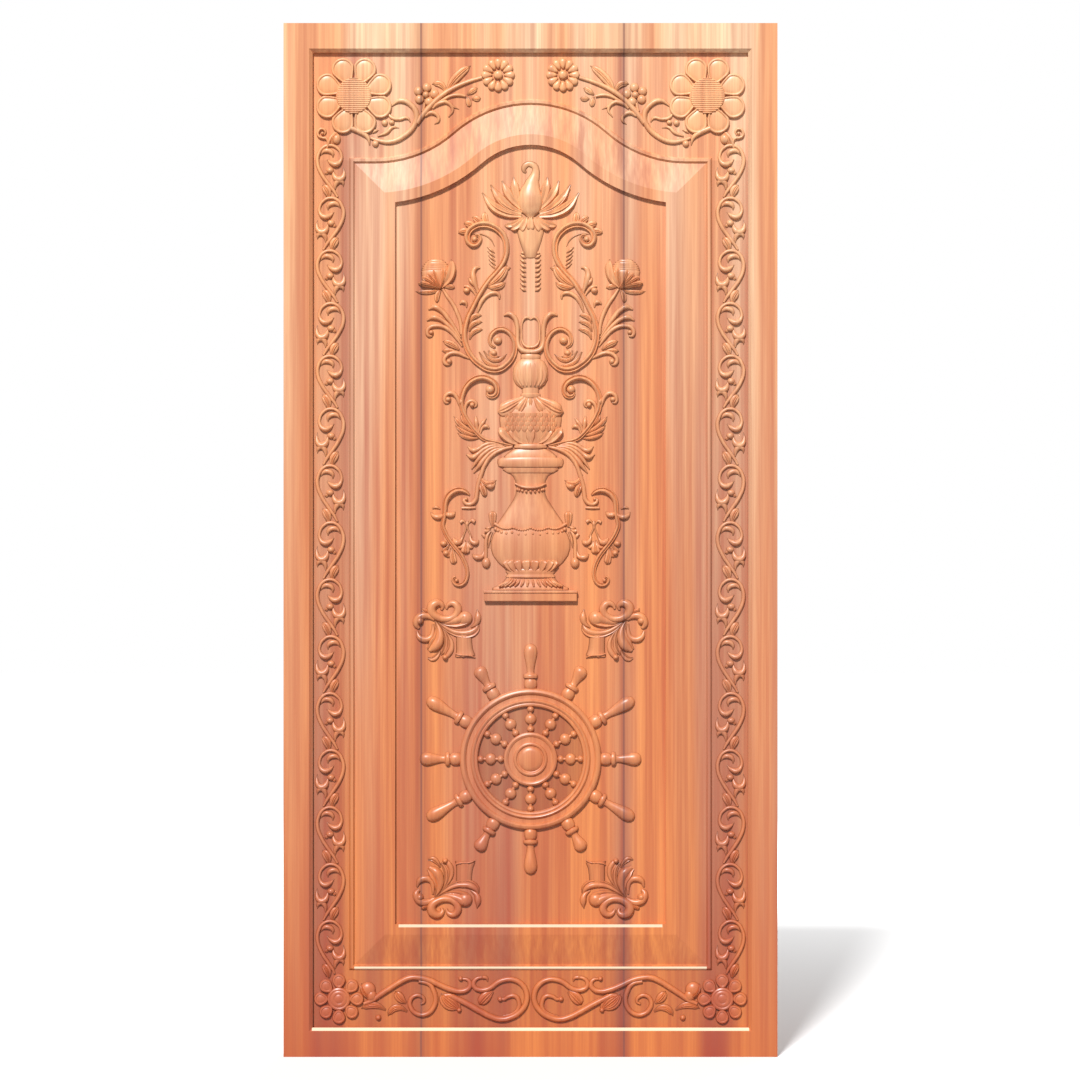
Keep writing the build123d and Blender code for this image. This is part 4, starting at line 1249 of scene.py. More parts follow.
@dataclass
class UpperArms:
    """The tallest scrolling arms with their flowers, curls and leaves.

    Attributes:
        dashes: Slanted ribs inside the upper curl.
        dash_top: Height of the first rib above the wheel's centre, in millimetres.
        dash_pitch: Distance from one rib down to the next.
        rings: Fine rings cut round the head of the flower.
        ring_depth: How far they stand out and in.
        flower: Where the flower's head is widest.
        flower_half: Half its width.
        flower_rise: From there up to its top.
        flower_closing: How far its outline closes at the top, as a share.
        relief: Height of the main stems, in millimetres.
    """

    dashes: int = 5
    dash_top: float = 1021.0
    dash_pitch: float = 8.2
    rings: int = 7
    ring_depth: float = 1.1
    flower: Point = (-190.0, 975.0)
    flower_half: float = 29.0
    flower_rise: float = 27.0
    flower_closing: float = 0.9
    relief: float = 11.0

    def build(self) -> None:
        """Carve the left arm and reflect it."""
        carver = Carver("upper_arm_left", tree_anchor())
        carver.bands([
            ([(-113, 1045), (-108, 1050), (-101, 1045), (-103.7, 1035.4), (-112.9, 1030),
              (-122.1, 1033.8), (-126.8, 1044.6), (-123.7, 1056.8), (-112.9, 1066.8),
              (-96.1, 1071.4), (-77.7, 1068.3), (-62.3, 1058.4), (-51.6, 1043), (-48.5, 1023),
              (-50, 1009.3), (-56.2, 994), (-68.5, 977.1), (-83.8, 960.2), (-97.6, 940.3),
              (-108.3, 921.9), (-116, 906), (-125, 888.3), (-131.3, 866.9), (-132.9, 846.9),
              (-128.3, 825.5), (-117.5, 805.5), (-100.7, 790.2), (-82.3, 781), (-63, 781),
              (-47, 791), (-35, 807), (-31, 826), (-35, 844), (-45, 857), (-58.7, 862.3),
              (-73.1, 857.1), (-81, 844.9), (-80, 831.6), (-71.6, 825)],
             (4, 8, 11, 13, 14, 14, 13, 11.5, 11, 11, 11.5, 12, 12.5, 13, 12, 11, 10, 9, 6)),
        ], self.relief, Section.GROOVED)
        carver.bands([
            ([(-176, 942), (-168, 929), (-157.4, 914.4), (-148.2, 897), (-140.5, 875),
              (-138, 851)], (6, 8, 9, 9, 7)),
            ([(-140, 845), (-154.4, 868), (-166.6, 885), (-179, 899), (-192, 906), (-205, 901)],
             (4, 8, 10, 11, 11, 4)),
            ([(-138, 837), (-152.8, 856), (-167.7, 872), (-182, 882.2), (-195, 885.3),
              (-208, 879)], (4, 8, 9, 10, 11, 4)),
            ([(-137, 827), (-147, 842), (-160.9, 858), (-175, 866.3), (-189, 868.4), (-202, 864.8),
              (-207, 855.6), (-204, 848.4), (-197, 848)], (4, 8, 9, 9, 9, 9, 8, 5)),
            ([(-121, 802), (-132.9, 808), (-145.1, 813.2), (-157.4, 814), (-168.1, 808.6),
              (-173.3, 799.4), (-169.7, 792), (-162, 790.6)], (4, 8, 9, 9, 9, 9, 6)),
            ([(-107, 893), (-103.7, 904), (-97.6, 918), (-86.3, 929.8), (-73, 934.4),
              (-63.8, 930.8), (-62.3, 922.5)], (3, 7, 9, 9, 9, 7, 4)),
            ([(-103, 929), (-108.3, 943.8), (-114, 961.3), (-115, 975), (-109.3, 984.3),
              (-101.1, 984.7)], (3, 8, 13, 11, 9, 4)),
            ([(-106, 931), (-111, 948), (-120, 958), (-124, 965)], (3, 7, 9, 3)),
            ([(-106, 921), (-114, 937), (-124, 946), (-133, 948)], (3, 6, 8, 5)),
            ([(-128, 905), (-130, 914), (-136, 916), (-142, 912)], (3, 8, 9, 4)),
        ], self.relief - 1)
        carver.leaves([
            ((-86, 1069), (-91, 1097), 14, 3),
            ((-98, 1069), (-117, 1086), 15, -3),
            ((-110, 1064), (-134, 1073), 15, -3),
            ((-119, 1055), (-145, 1053), 14, -4),
            ((-143, 820), (-176, 837), 14, -3),
            ((-146, 813), (-178, 817), 11, -3),
            ((-88, 948), (-47, 991), 18, -7),
            ((-86, 946), (-50, 955), 14, -4),
            ((-56, 971), (-39, 984), 9, 4),
            ((-121, 872), (-97, 888), 11, 8),
            ((-123, 857), (-96, 875), 11, 8),
            ((-122, 841), (-95, 860), 11, 8),
            ((-103, 816), (-56, 788), 9, -10),
            ((-94, 818), (-47, 812), 9, -16),
            ((-84, 819), (-62, 807), 10, -7),
            ((-176, 946), (-151, 943), 11, 3),
            ((-179, 942), (-187, 913), 11, -4),
            ((-176, 943), (-231, 937), 10, 4),
        ], self.relief)
        across, middle = self.flower
        crown = [(0.01, middle + self.flower_rise)]
        for k in range(2 * self.rings):
            share = 1 - k / (2 * self.rings)
            half = self.flower_half * math.sqrt(1 - share**2 * self.flower_closing)
            half += self.ring_depth if k % 2 else -self.ring_depth
            crown.append((half, middle + self.flower_rise * share))
        crown += [(28, 967), (22, 954), (13, 946), (0.01, 943)]
        carver.turned(crown, 10, across=across)
        carver.leaves([((-179, 945), (-159, 1002), 19, -9)], self.relief + 2, Section.ROLLED)
        carver.leaves([
            ((-180, 946), (-176, 985), 12, -3),
            ((-180, 946), (-195, 982), 12, 2),
            ((-180, 946), (-208, 975), 12, 1),
            ((-180, 945), (-218, 966), 12, 0),
            ((-180, 944), (-225, 954), 12, -1),
        ], self.relief + 1, Section.VEINED, Tip.ROUNDED, 3)
        carver.domes([((-66, 839), 9, 8), ((-74, 814), 7, 6), ((-112, 1042), 6, 6),
                      ((-199, 855), 5, 5), ((-163, 797), 6, 6), ((-128, 939), 7, 6)],
                     self.relief - 1)
        ribs = []
        for k in range(self.dashes):
            z = self.dash_top - self.dash_pitch * k
            ribs.append(([(-87 + k, z + 5), (-80 + k, z), (-72 + k * 0.6, z - 7)], (2, 5, 2)))
        carver.bands(ribs, 4)
        carver.bands([([(-118, 1051), (-106, 1053), (-92, 1050), (-80, 1042), (-72, 1027)],
                       (1, 3, 3, 3, 1))], 2.5)
        carver.finish_pair()


@dataclass
class Lyre:
    """The open lyre of two curved horns over its collar.

    Attributes:
        relief: Height of the main stems, in millimetres.
    """

    relief: float = 11.0

    def build(self) -> None:
        """Carve both horns and the collar."""
        carver = Carver("lyre", tree_anchor())
        horn = ([(-54, 889), (-42, 892), (-32, 884), (-27, 869), (-26, 851), (-25.5, 835),
                 (-21, 823), (-11, 817), (0, 815.7)], (4, 10, 11, 10, 9, 9, 11, 12, 12))
        inner = ([(0, 881), (-8, 885), (-15, 879), (-18, 865), (-18, 849), (-16, 835), (-9, 827),
                  (0, 825)], (3, 6, 5, 4, 4, 5, 7, 7))
        carver.bands([horn, mirrored_row(horn)], self.relief)
        carver.bands([inner, mirrored_row(inner)], self.relief - 4)
        carver.turned([(0, 811), (18, 811), (20, 809), (20, 803), (18, 801), (0, 801)],
                      self.relief - 2)
        carver.finish()


@dataclass
class VaseBulb:
    """The reeded ball, the neck and the scaled bulb.

    Attributes:
        reeds: Ribs on the ball.
        reed_reach: Radius on which they stand, in millimetres.
        reed_turn: Angle from one to the next.
        ball: Radius of the ball.
        bulb: Radius of the bulb where the scales are.
        relief: How far the ball and the bulb stand out under their ribs and scales.
        scale_rows: Rows of scales on the bulb.
        scale_top: Height of the first row above the wheel's centre.
        scale_drop: Distance from one row down to the next.
        scale_pitch: Distance between the scales of a row.
        scale_count: Scales in the longer rows.
    """

    reeds: int = 7
    reed_reach: float = 30.0
    reed_turn: float = 0.38
    ball: float = 35.6
    bulb: float = 61.0
    relief: float = 12.4
    scale_rows: int = 4
    scale_top: float = 688.0
    scale_drop: float = 8.6
    scale_pitch: float = 12.5
    scale_count: int = 10

    def build(self) -> None:
        """Carve the ball, the neck, the bulb, its collar of petals and its scales."""
        carver = Carver("vase_bulb", tree_anchor())
        carver.turned([(0, 802), (19, 802), (28, 796), (34, 785), (35.6, 773), (35, 761),
                       (30, 751), (21, 744), (0, 743)], 13)
        for x in fanned(self.reeds, self.reed_reach, self.reed_turn):
            lift = self.relief * math.sqrt(1 - (x / self.ball) ** 2) - 0.9
            carver.bands([([(x * 0.75, 793), (x, 777), (x * 0.97, 761), (x * 0.7, 748)],
                           (1, 7, 8, 3))], 2.2, lift=lift)
        carver.turned([(0, 745), (17, 745), (16.5, 733), (20, 731), (20, 726), (18, 724),
                       (0, 723)], 9)
        carver.turned([(0, 728), (20, 727), (34, 719), (48, 707), (59, 695), (63, 682), (61, 665),
                       (53, 650), (42, 639), (30, 631), (0, 630)], 13)
        outer = ([(-14, 724), (-24, 716), (-37, 708), (-49, 701), (-59, 697), (-66, 696)],
                 (9, 19, 27, 30, 24, 3))
        inner = ([(-7, 725), (-12, 714), (-17, 705), (-21, 697), (-22, 691)], (10, 22, 28, 25, 5))
        carver.bands([outer, mirrored_row(outer), inner, mirrored_row(inner),
                      ([(0, 726), (0, 716), (0, 706), (0, 698)], (10, 18, 16, 3))],
                     12, Section.VEINED, 3.5)
        for row in range(self.scale_rows):
            z = self.scale_top - row * self.scale_drop
            for x in fanned(self.scale_count - row % 2, self.bulb, self.scale_pitch / self.bulb):
                front = math.sqrt(1 - (x / self.bulb) ** 2)
                carver.bands([([(x, z + 5), (x, z), (x * 0.99, z - 4), (x * 0.98, z - 7.5)],
                               (12 * front + 1, 11.5 * front + 1, 7 * front + 1, 1))], 4,
                             Section.VEINED, self.relief * front - 0.5)
        carver.leaves([
            ((-26, 631), (-62, 664), 17, 5), ((26, 631), (62, 664), 17, -5),
            ((-13, 633), (-40, 663), 16, 5), ((13, 633), (40, 663), 16, -5),
            ((-5, 633), (-19, 662), 14, 3), ((5, 633), (19, 662), 14, -3),
            ((0, 631), (0, 664), 22, 0),
        ], 12, Section.ROLLED, Tip.ROUNDED, 3)
        carver.turned([(0, 632), (30, 631), (34, 629), (34, 624), (30, 622), (0, 621)], 11)
        carver.finish()


@dataclass
class MiddleArms:
    """The arms that swell from the urn's lid past the bulb.

    Attributes:
        relief: Height of the main stems, in millimetres.
    """

    relief: float = 11.0

    def build(self) -> None:
        """Carve the left arm and reflect it."""
        carver = Carver("middle_arm_left", tree_anchor())
        carver.bands([
            ([(-88, 737), (-86, 729), (-78, 726.1), (-70, 730), (-66.7, 739.1), (-70.1, 751.2),
              (-81.2, 760.5), (-98.5, 764.9), (-115.8, 759.7), (-128.6, 747.7), (-135.5, 733.9),
              (-138.6, 720.1), (-137.7, 704.6), (-132, 689), (-120.2, 669.3), (-107.1, 653),
              (-93.6, 641.5), (-66, 634), (-36, 627)],
             (4, 8, 9.5, 10.5, 12, 12.5, 12, 11.5, 11, 10, 9.5, 9, 8, 7)),
        ], self.relief, Section.GROOVED)
        carver.bands([
            ([(-139, 701), (-143, 713), (-148, 725.3), (-156.5, 733), (-165.8, 732), (-172, 723.5),
              (-170.5, 715), (-164, 714)], (4, 8, 9, 10, 9, 7, 5)),
            ([(-130, 691), (-129.6, 708.7), (-121.5, 717.2), (-112, 716), (-108.9, 709),
              (-113, 705)], (4, 8, 8.5, 8, 6, 4)),
            ([(-60, 629), (-78, 633), (-94, 629), (-106, 621), (-116, 619), (-126, 627)],
             (6, 8, 9, 10, 11, 3)),
            ([(-56, 627), (-76, 628), (-92, 622), (-106, 611), (-116, 605), (-129, 611)],
             (6, 8, 9, 10, 12, 3)),
            ([(-52, 625), (-74, 624), (-92, 614), (-106, 599), (-118, 581)], (6, 8, 9, 9, 3)),
            ([(-50, 623), (-72, 619), (-90, 605), (-102, 589), (-114, 573)], (6, 8, 9, 10, 3)),
            ([(-36, 626), (-58, 620), (-78, 608), (-91, 591), (-99, 570), (-105.5, 547),
              (-107.6, 531), (-110, 520), (-119, 511.4), (-129, 512), (-133, 519), (-128, 523)],
             (6, 9, 9, 9, 9, 9.5, 10, 10, 9, 8, 5)),
            ([(-106, 657), (-108, 667), (-109, 677), (-110, 688)], (5, 8, 9, 3)),
            ([(-104, 655), (-101, 666), (-95, 675), (-89, 683)], (4, 7, 8, 3)),
            ([(-101, 652), (-96, 664), (-89, 667), (-83, 663)], (4, 7, 9, 4)),
        ], self.relief - 1)
        carver.leaves([
            ((-110, 653), (-154, 687), 11, 5),
            ((-106, 648), (-151, 669), 10, 5),
            ((-102, 643), (-147, 654), 9, 5),
            ((-120, 667), (-139, 692), 9, 4),
            ((-103, 571), (-68, 559), 13, -14),
            ((-103, 555), (-91, 524), 14, 2),
        ], self.relief)
        carver.domes([((-81, 741), 9, 8.5), ((-165, 721), 6, 5.5), ((-117, 710), 5.5, 5.5),
                      ((-129, 521), 4, 4), ((-139, 716), 5, 7)], self.relief - 1)
        carver.bands([([(-92, 553), (-86, 548), (-78, 547), (-70, 554)], (2, 10, 12, 2))],
                     self.relief - 1)
        carver.finish_pair()


@dataclass
class LowerArms:
    """The hanging arms with their bowls, berries and end curls.

    Attributes:
        relief: Height of the main stems, in millimetres.
    """

    relief: float = 10.5

    def build(self) -> None:
        """Carve the left arm and reflect it."""
        carver = Carver("lower_arm_left", tree_anchor())
        carver.bands([
            ([(-122, 529), (-130, 536), (-141.7, 539.5), (-154.8, 536), (-165.7, 526),
              (-170.8, 513), (-172, 497.3), (-173.7, 482.7), (-176.1, 469.3), (-172.4, 456.7),
              (-164.1, 441.1), (-152.6, 425.5), (-140.2, 409.8), (-131.8, 394.2), (-127.2, 378.6),
              (-127.7, 364), (-133.4, 353), (-143.3, 348.6), (-153.2, 353), (-155.3, 361.4),
              (-150, 365)], (4, 11, 13, 13, 11, 10, 9.5, 9, 9, 9, 9, 9, 8.5, 8, 7, 6)),
        ], self.relief, Section.GROOVED)
        carver.bands([
            ([(-200, 495), (-195, 488), (-186, 485), (-178, 487), (-172, 493)], (2, 9, 12, 9, 4)),
            ([(-171, 496), (-167, 491), (-161, 489), (-155, 491), (-151, 496)],
             (3, 11, 12, 10, 2)),
            ([(-197, 502), (-189, 504.5), (-181, 501)], (3, 6, 3)),
            ([(-138, 503.5), (-124, 503.5), (-110, 504)], (6, 7, 6)),
            ([(-141, 474), (-136, 477), (-131, 473), (-129, 465), (-133, 451), (-136, 441)],
             (8, 7, 4, 4, 4, 3)),
            ([(-112, 475), (-117, 478), (-123, 474), (-126, 465), (-122, 453), (-118, 445)],
             (9, 8, 4, 4, 4, 3)),
            ([(-126.9, 477), (-127, 471), (-127, 464)], (4, 7, 3)),
            ([(-155, 443), (-151, 436), (-145, 434), (-139, 439), (-135, 451)], (4, 12, 13, 7, 3)),
            ([(-121, 451), (-120, 441), (-115, 434), (-108, 434), (-104, 439)], (3, 7, 11, 11, 3)),
            ([(-147, 427), (-141, 424), (-135, 429), (-131, 439)], (3, 7, 6, 3)),
            ([(-126, 437), (-124, 429), (-119, 424), (-114, 425)], (3, 6, 7, 2)),
            ([(-117, 411), (-112, 406), (-105, 404), (-97, 406), (-94, 413), (-92, 423)],
             (2, 10, 12, 9, 5, 3)),
            ([(-80, 457), (-86, 449), (-89.5, 435), (-89.5, 415), (-90, 401)], (4, 7, 8, 8, 8)),
            ([(-76, 455), (-81, 445), (-83, 435), (-84, 423)], (3, 5, 5, 2)),
            ([(-92, 457), (-87, 457), (-80, 461)], (9, 8, 3)),
            ([(-96, 451), (-92, 446), (-90, 441)], (7, 8, 4)),
            ([(-91, 463), (-84, 463), (-77, 467)], (2, 7, 3)),
        ], self.relief - 1)
        carver.leaves([
            ((-129, 435), (-131, 411), 18, 0),
            ((-160, 423), (-167, 403), 9, 0),
            ((-156, 422), (-152, 390), 14, -2),
            ((-152, 421), (-134, 401), 8, 3),
            ((-162, 431), (-178, 415), 8, 1),
            ((-76, 465), (-76, 497), 16, 0),
        ], self.relief - 0.5, Section.VEINED, Tip.ROUNDED)
        carver.domes([((-174, 432), 7.5, 6), ((-169.5, 413), 6.5, 6), ((-89, 393), 9, 11),
                      ((-148, 358), 4, 4)], self.relief - 0.5)
        carver.finish_pair()


@dataclass
class Urn:
    """The urn with its lid, waist, belt, bowl and fluted foot on a plinth.

    Attributes:
        waist_beads: Beads in the row under the waist.
        waist: Radius on which they stand, in millimetres.
        bead_turn: Angle from one to the next.
        links: Links of the scalloped belt, with a bead under every third.
        belt: Radius of the belt.
        belt_top: Height of the belt's middle above the wheel's centre.
        scallop: Width of a scallop.
        flatness: How far the bowl stands out, as a share of its radius.
        fronds: Leaves round the foot of the bowl.
        frond_turn: Angle from one to the next.
        flutes: Flutes on the foot.
        flute_turn: Angle from one to the next.
        plinth: Half width, foot, top and relief of each slab of the plinth.
        eased: Width of the slabs' rounded edges.
    """

    waist_beads: int = 9
    waist: float = 27.0
    bead_turn: float = 0.33
    links: int = 43
    belt: float = 71.0
    belt_top: float = 463.0
    scallop: float = 35.0
    flatness: float = 0.175
    fronds: int = 8
    frond_turn: float = 0.36
    flutes: int = 14
    flute_turn: float = 0.2
    plinth: tuple[tuple[float, ...], ...] = ((94, 332, 338, 13), (93, 316, 333, 11))
    eased: float = 1.8

    def stand(self, radius: float, x: float) -> float:
        """Give how far the bowl stands off the ground at a place across it."""
        return self.flatness * math.sqrt(max(radius**2 - x**2, 40))

    def build(self) -> None:
        """Carve the urn from its lid down to its plinth."""
        carver = Carver("urn", tree_anchor())
        carver.turned([(0, 621), (34, 621), (40, 618), (53, 607), (53, 604), (0, 603)], 9, 48)
        carver.turned([(0, 604), (60, 604), (66, 601), (67, 594), (65, 587), (60, 585), (0, 585)],
                      14, 48)
        carver.turned([(0, 586), (56, 585), (56, 579), (48, 574), (0, 574)], 10.5, 48)
        carver.turned([(0, 576), (46, 575), (36, 567), (31, 558), (29, 545), (30, 531), (34, 521),
                       (47, 501), (66, 473), (70, 465), (70, 457), (0, 455)], 11.5, 48)
        carver.turned([(0, 461), (66, 460), (75, 450), (80, 435), (80, 422), (76, 408), (66, 394),
                       (54, 383), (46, 380), (0, 379)], 14, 48)
        carver.turned([(0, 381), (46, 381), (50, 379), (50, 374), (47, 372), (47, 369), (50, 367),
                       (50, 364), (0, 363)], 11, 40)
        carver.turned([(0, 366), (48, 365), (53, 358), (62, 349), (77, 343), (77, 339), (0, 338)],
                      11, 48)
        carver.bands([([(-31, 552), (-18, 546), (0, 544), (18, 546), (31, 552)],
                       (4, 7, 8, 7, 4))], 13)
        for x in fanned(self.waist_beads, self.waist, self.bead_turn):
            carver.domes([((x, 536 + x * x / 160), 3.4, 3.8)], 12 * math.cos(x / 30))
        for k, x in enumerate(fanned(self.links, self.belt, math.pi / (self.links + 3))):
            rise = self.stand(self.belt + 1, x) + 2.7
            z = self.belt_top + 8 * (abs(x) / 70) ** 3
            wave = abs(math.sin(math.pi * x / self.scallop))
            carver.domes([((x, z - 4.5 * wave), 4.4, 3.6)], rise)
            if k % 3 == 1:
                carver.domes([((x, z - 9.5 - 4 * wave), 4.4, 4.8)], rise + 0.4)
        for x in fanned(self.fronds, 45, self.frond_turn):
            leaf = ((x * 0.9, 377), (x * 1.2, 400 - abs(x) * 0.03), 19 - abs(x) * 0.08, 0)
            carver.leaves([leaf], 7, Section.ROLLED, Tip.ROUNDED, self.stand(60, x) - 1.6)
        carver.bands([([(42 * x, 364), (50 * x, 355), (66 * x, 346)], (3, 7, 7))
                      for x in fanned(self.flutes, 1, self.flute_turn)], 13)
        for half, low, high, relief in self.plinth:
            bpy.ops.object.select_all(action="DESELECT")
            bpy.ops.mesh.primitive_cube_add(size=1)
            slab = bpy.context.object
            size = (2 * half * MM, relief * MM, (high - low) * MM, 1)
            slab.data.transform(Matrix.Diagonal(size))
            middle = carver.place((0, (low + high) / 2), relief / 2)
            slab.data.transform(Matrix.Translation(middle))
            ease_edges(slab, self.eased, 3)
            carver.pieces.append(slab)
        carver.finish()


@dataclass
class CarvedWheel:
    """The wheel: hub, turned spokes, beaded rim and the grips outside it.

    Attributes:
        spokes: How many spokes and grips it has.
        grip_reaches: Lengths of the grips' handles from one upright grip to the next level one.
        grip_neck: From the centre to where the handles grow longer, in millimetres.
    """

    spokes: int = 12
    grip_reaches: tuple[float, ...] = (1.0, 0.68, 1.14, 0.85, 1.14, 0.68)
    grip_neck: float = 171.0

    def build(self) -> None:
        """Carve the hub, the spokes, the rim and the grips."""
        anchor = tree_anchor()
        hub = Carver("wheel_hub", anchor)
        hub.disc((0, 0), [
            (0, 12), (16, 11.6), (22, 10.2), (25, 7.4), (27, 8), (28.4, 10.4), (30.6, 11),
            (33, 9.8), (34.4, 6.4), (38, 6), (44, 6.2), (46, 8.4), (49.4, 9.6), (52.6, 8),
            (54, 4), (54, -0.5),
        ], 64)
        hub.finish()
        spokes = Carver("wheel_spokes", anchor)
        spokes.domes([((0, 60), 7.6, 7), ((0, 80), 12, 11.6), ((0, 100), 7.4, 7)], 9.5)
        spokes.bands([([(0, 52), (0, 80), (0, 108)], (7, 7, 7))], 5)
        for form in list(spokes.pieces):
            spokes.ring_of(form, (0, 0), self.spokes)
        spokes.finish()
        rim = Carver("wheel_rim", anchor)
        rim.disc((0, 0), [
            (104.5, -0.5), (105, 4.5), (107, 7.6), (110, 8.4), (112.4, 7.2), (113.6, 9),
            (116.5, 10), (119, 8.4), (120.5, 5.6), (124, 5), (128.5, 5.4), (130.5, 8.6),
            (134, 11), (138, 10.4), (141, 7.6), (142, 4), (142, -0.5),
        ], 96)
        rim.finish()
        grips = Carver("wheel_grips", anchor)
        grips.turned([
            (0.01, 140), (10, 140.5), (12.6, 143), (13.4, 149), (13, 155), (11, 159.5),
            (9, 160.5), (9, 161.5), (14, 162.5), (15, 165.5), (14.4, 168.5), (12, 170.5),
            (8.4, 171.5), (7.4, 175), (8, 182), (10, 193), (12.6, 205), (13.8, 214), (13, 221),
            (10, 227), (5.6, 230.4), (0.01, 231.5),
        ], 12, 28)
        grips.ring_of(grips.pieces[0], (0, 0), self.spokes, self.grip_reaches, self.grip_neck)
        grips.finish()


@dataclass
class LeafClusters:
    """The four curled leaf clusters round the wheel.

    Attributes:
        relief: Height of the main stems, in millimetres.
    """

    relief: float = 11.0

    def build(self) -> None:
        """Carve the upper left cluster and reflect it to the other three places."""
        carver = Carver("leaf_cluster_upper_left", tree_anchor())
        carver.bands([
            ([(-193, 280), (-205.8, 286.7), (-218.7, 286.5), (-227, 279), (-228.7, 269),
              (-223.5, 262)], (8.5, 13.4, 15.9, 15.9, 13.4, 7.3)),
            ([(-227.5, 256), (-222.4, 244), (-209.5, 239.5), (-199.2, 245), (-195.5, 256),
              (-195.6, 271)], (4.9, 12.2, 13.4, 11, 8.5, 4.9)),
            ([(-169, 301), (-164.6, 309), (-155, 312), (-146.5, 305), (-146, 295), (-154.3, 285),
              (-170.8, 280.5), (-187.4, 285), (-197, 293), (-198.5, 303), (-192, 311),
              (-182.5, 312), (-176.6, 306), (-178.2, 299)],
             (6.1, 9.8, 13.4, 15.9, 15.9, 14.6, 14.6, 15.9, 18.3, 19.5, 18.3, 14.6, 9.8, 6.1)),
            ([(-119.3, 263.6), (-108, 273), (-105.4, 286), (-107.2, 300)], (4, 11, 13, 2)),
        ], self.relief, Section.ROUND)
        carver.bands([
            ([(-187, 278), (-172.7, 272), (-156, 273), (-141, 277), (-131, 282)],
             (3, 8, 20, 27, 30)),
            ([(-187.4, 275.4), (-172.7, 263.6), (-154.3, 253.5), (-136, 250), (-119.3, 252),
              (-108.3, 260), (-104.6, 269)], (3, 9, 13, 16, 18, 14, 6)),
            ([(-191, 276), (-184.6, 259), (-185.4, 241.6), (-193, 228), (-204, 218)],
             (4, 15, 25, 27, 12)),
            ([(-182, 269), (-172.7, 252.5), (-169.5, 232.3), (-172.7, 217.6), (-180, 208.5)],
             (2, 7, 9, 9, 4)),
            ([(-176.4, 261.7), (-163.5, 243.3), (-159.8, 225), (-166, 211), (-174.5, 201)],
             (3, 9, 14, 15, 8)),
            ([(-181, 217.6), (-187.4, 206.7), (-196.6, 200.3), (-205.8, 202)], (4, 10, 11, 4)),
        ], self.relief + 0.5, Section.GROOVED)
        carver.domes([((-131, 282), 15, 14.5), ((-222, 277), 8, 8), ((-171, 204), 6, 5.5)],
                     self.relief + 0.5)
        carver.leaves([((-200, 294), (-219, 302), 10, 2)], self.relief - 3)
        carver.bands([([(-134, 257), (-133.5, 243), (-133, 229), (-132, 217), (-131, 206)],
                       (30, 32, 33, 35, 41))], 6.5, Section.VEINED)
        carver.bands([([(-150, 211), (-142, 208.5), (-132, 208), (-120, 207), (-111, 203)],
                       (3, 4, 4, 4, 2))], 6.8)
        upper = carver.finish()
        level = tree_anchor().z
        other = reflected(upper, "leaf_cluster_upper_right")
        reflected(upper, "leaf_cluster_lower_left", Axis.UP, level)
        reflected(other, "leaf_cluster_lower_right", Axis.UP, level)


@dataclass
class Timbers:
    """The frame's members, the leaf's boards and the hinges, which keep their CAD shapes.

    Attributes:
        frame_members: Nodes of the frame.
        boards: Nodes of the leaf.
        hardware: Nodes of the hinges.
    """

    frame_members: tuple[str, ...] = ("frame_sill", "frame_head", "jamb_hinge_side",
                                      "jamb_closing_side")
    boards: tuple[str, ...] = ("leaf_board_left", "leaf_board_middle", "leaf_board_right")
    hardware: tuple[str, ...] = ("hinge_plates_on_jamb", "hinge_plates_on_leaf", "hinge_pins")

    def build(self) -> None:
        """Dress every CAD node that stays."""
        for nodes, material in ((self.frame_members, FINISHES.timber(FRAME_TEAK)),
                                (self.boards, FINISHES.timber(BOARD_TEAK)),
                                (self.hardware, FINISHES.metal(HINGE_BRASS))):
            for node in nodes:
                dress(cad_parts[node], material)
                log.info("%s dressed in %s", node, material.name)


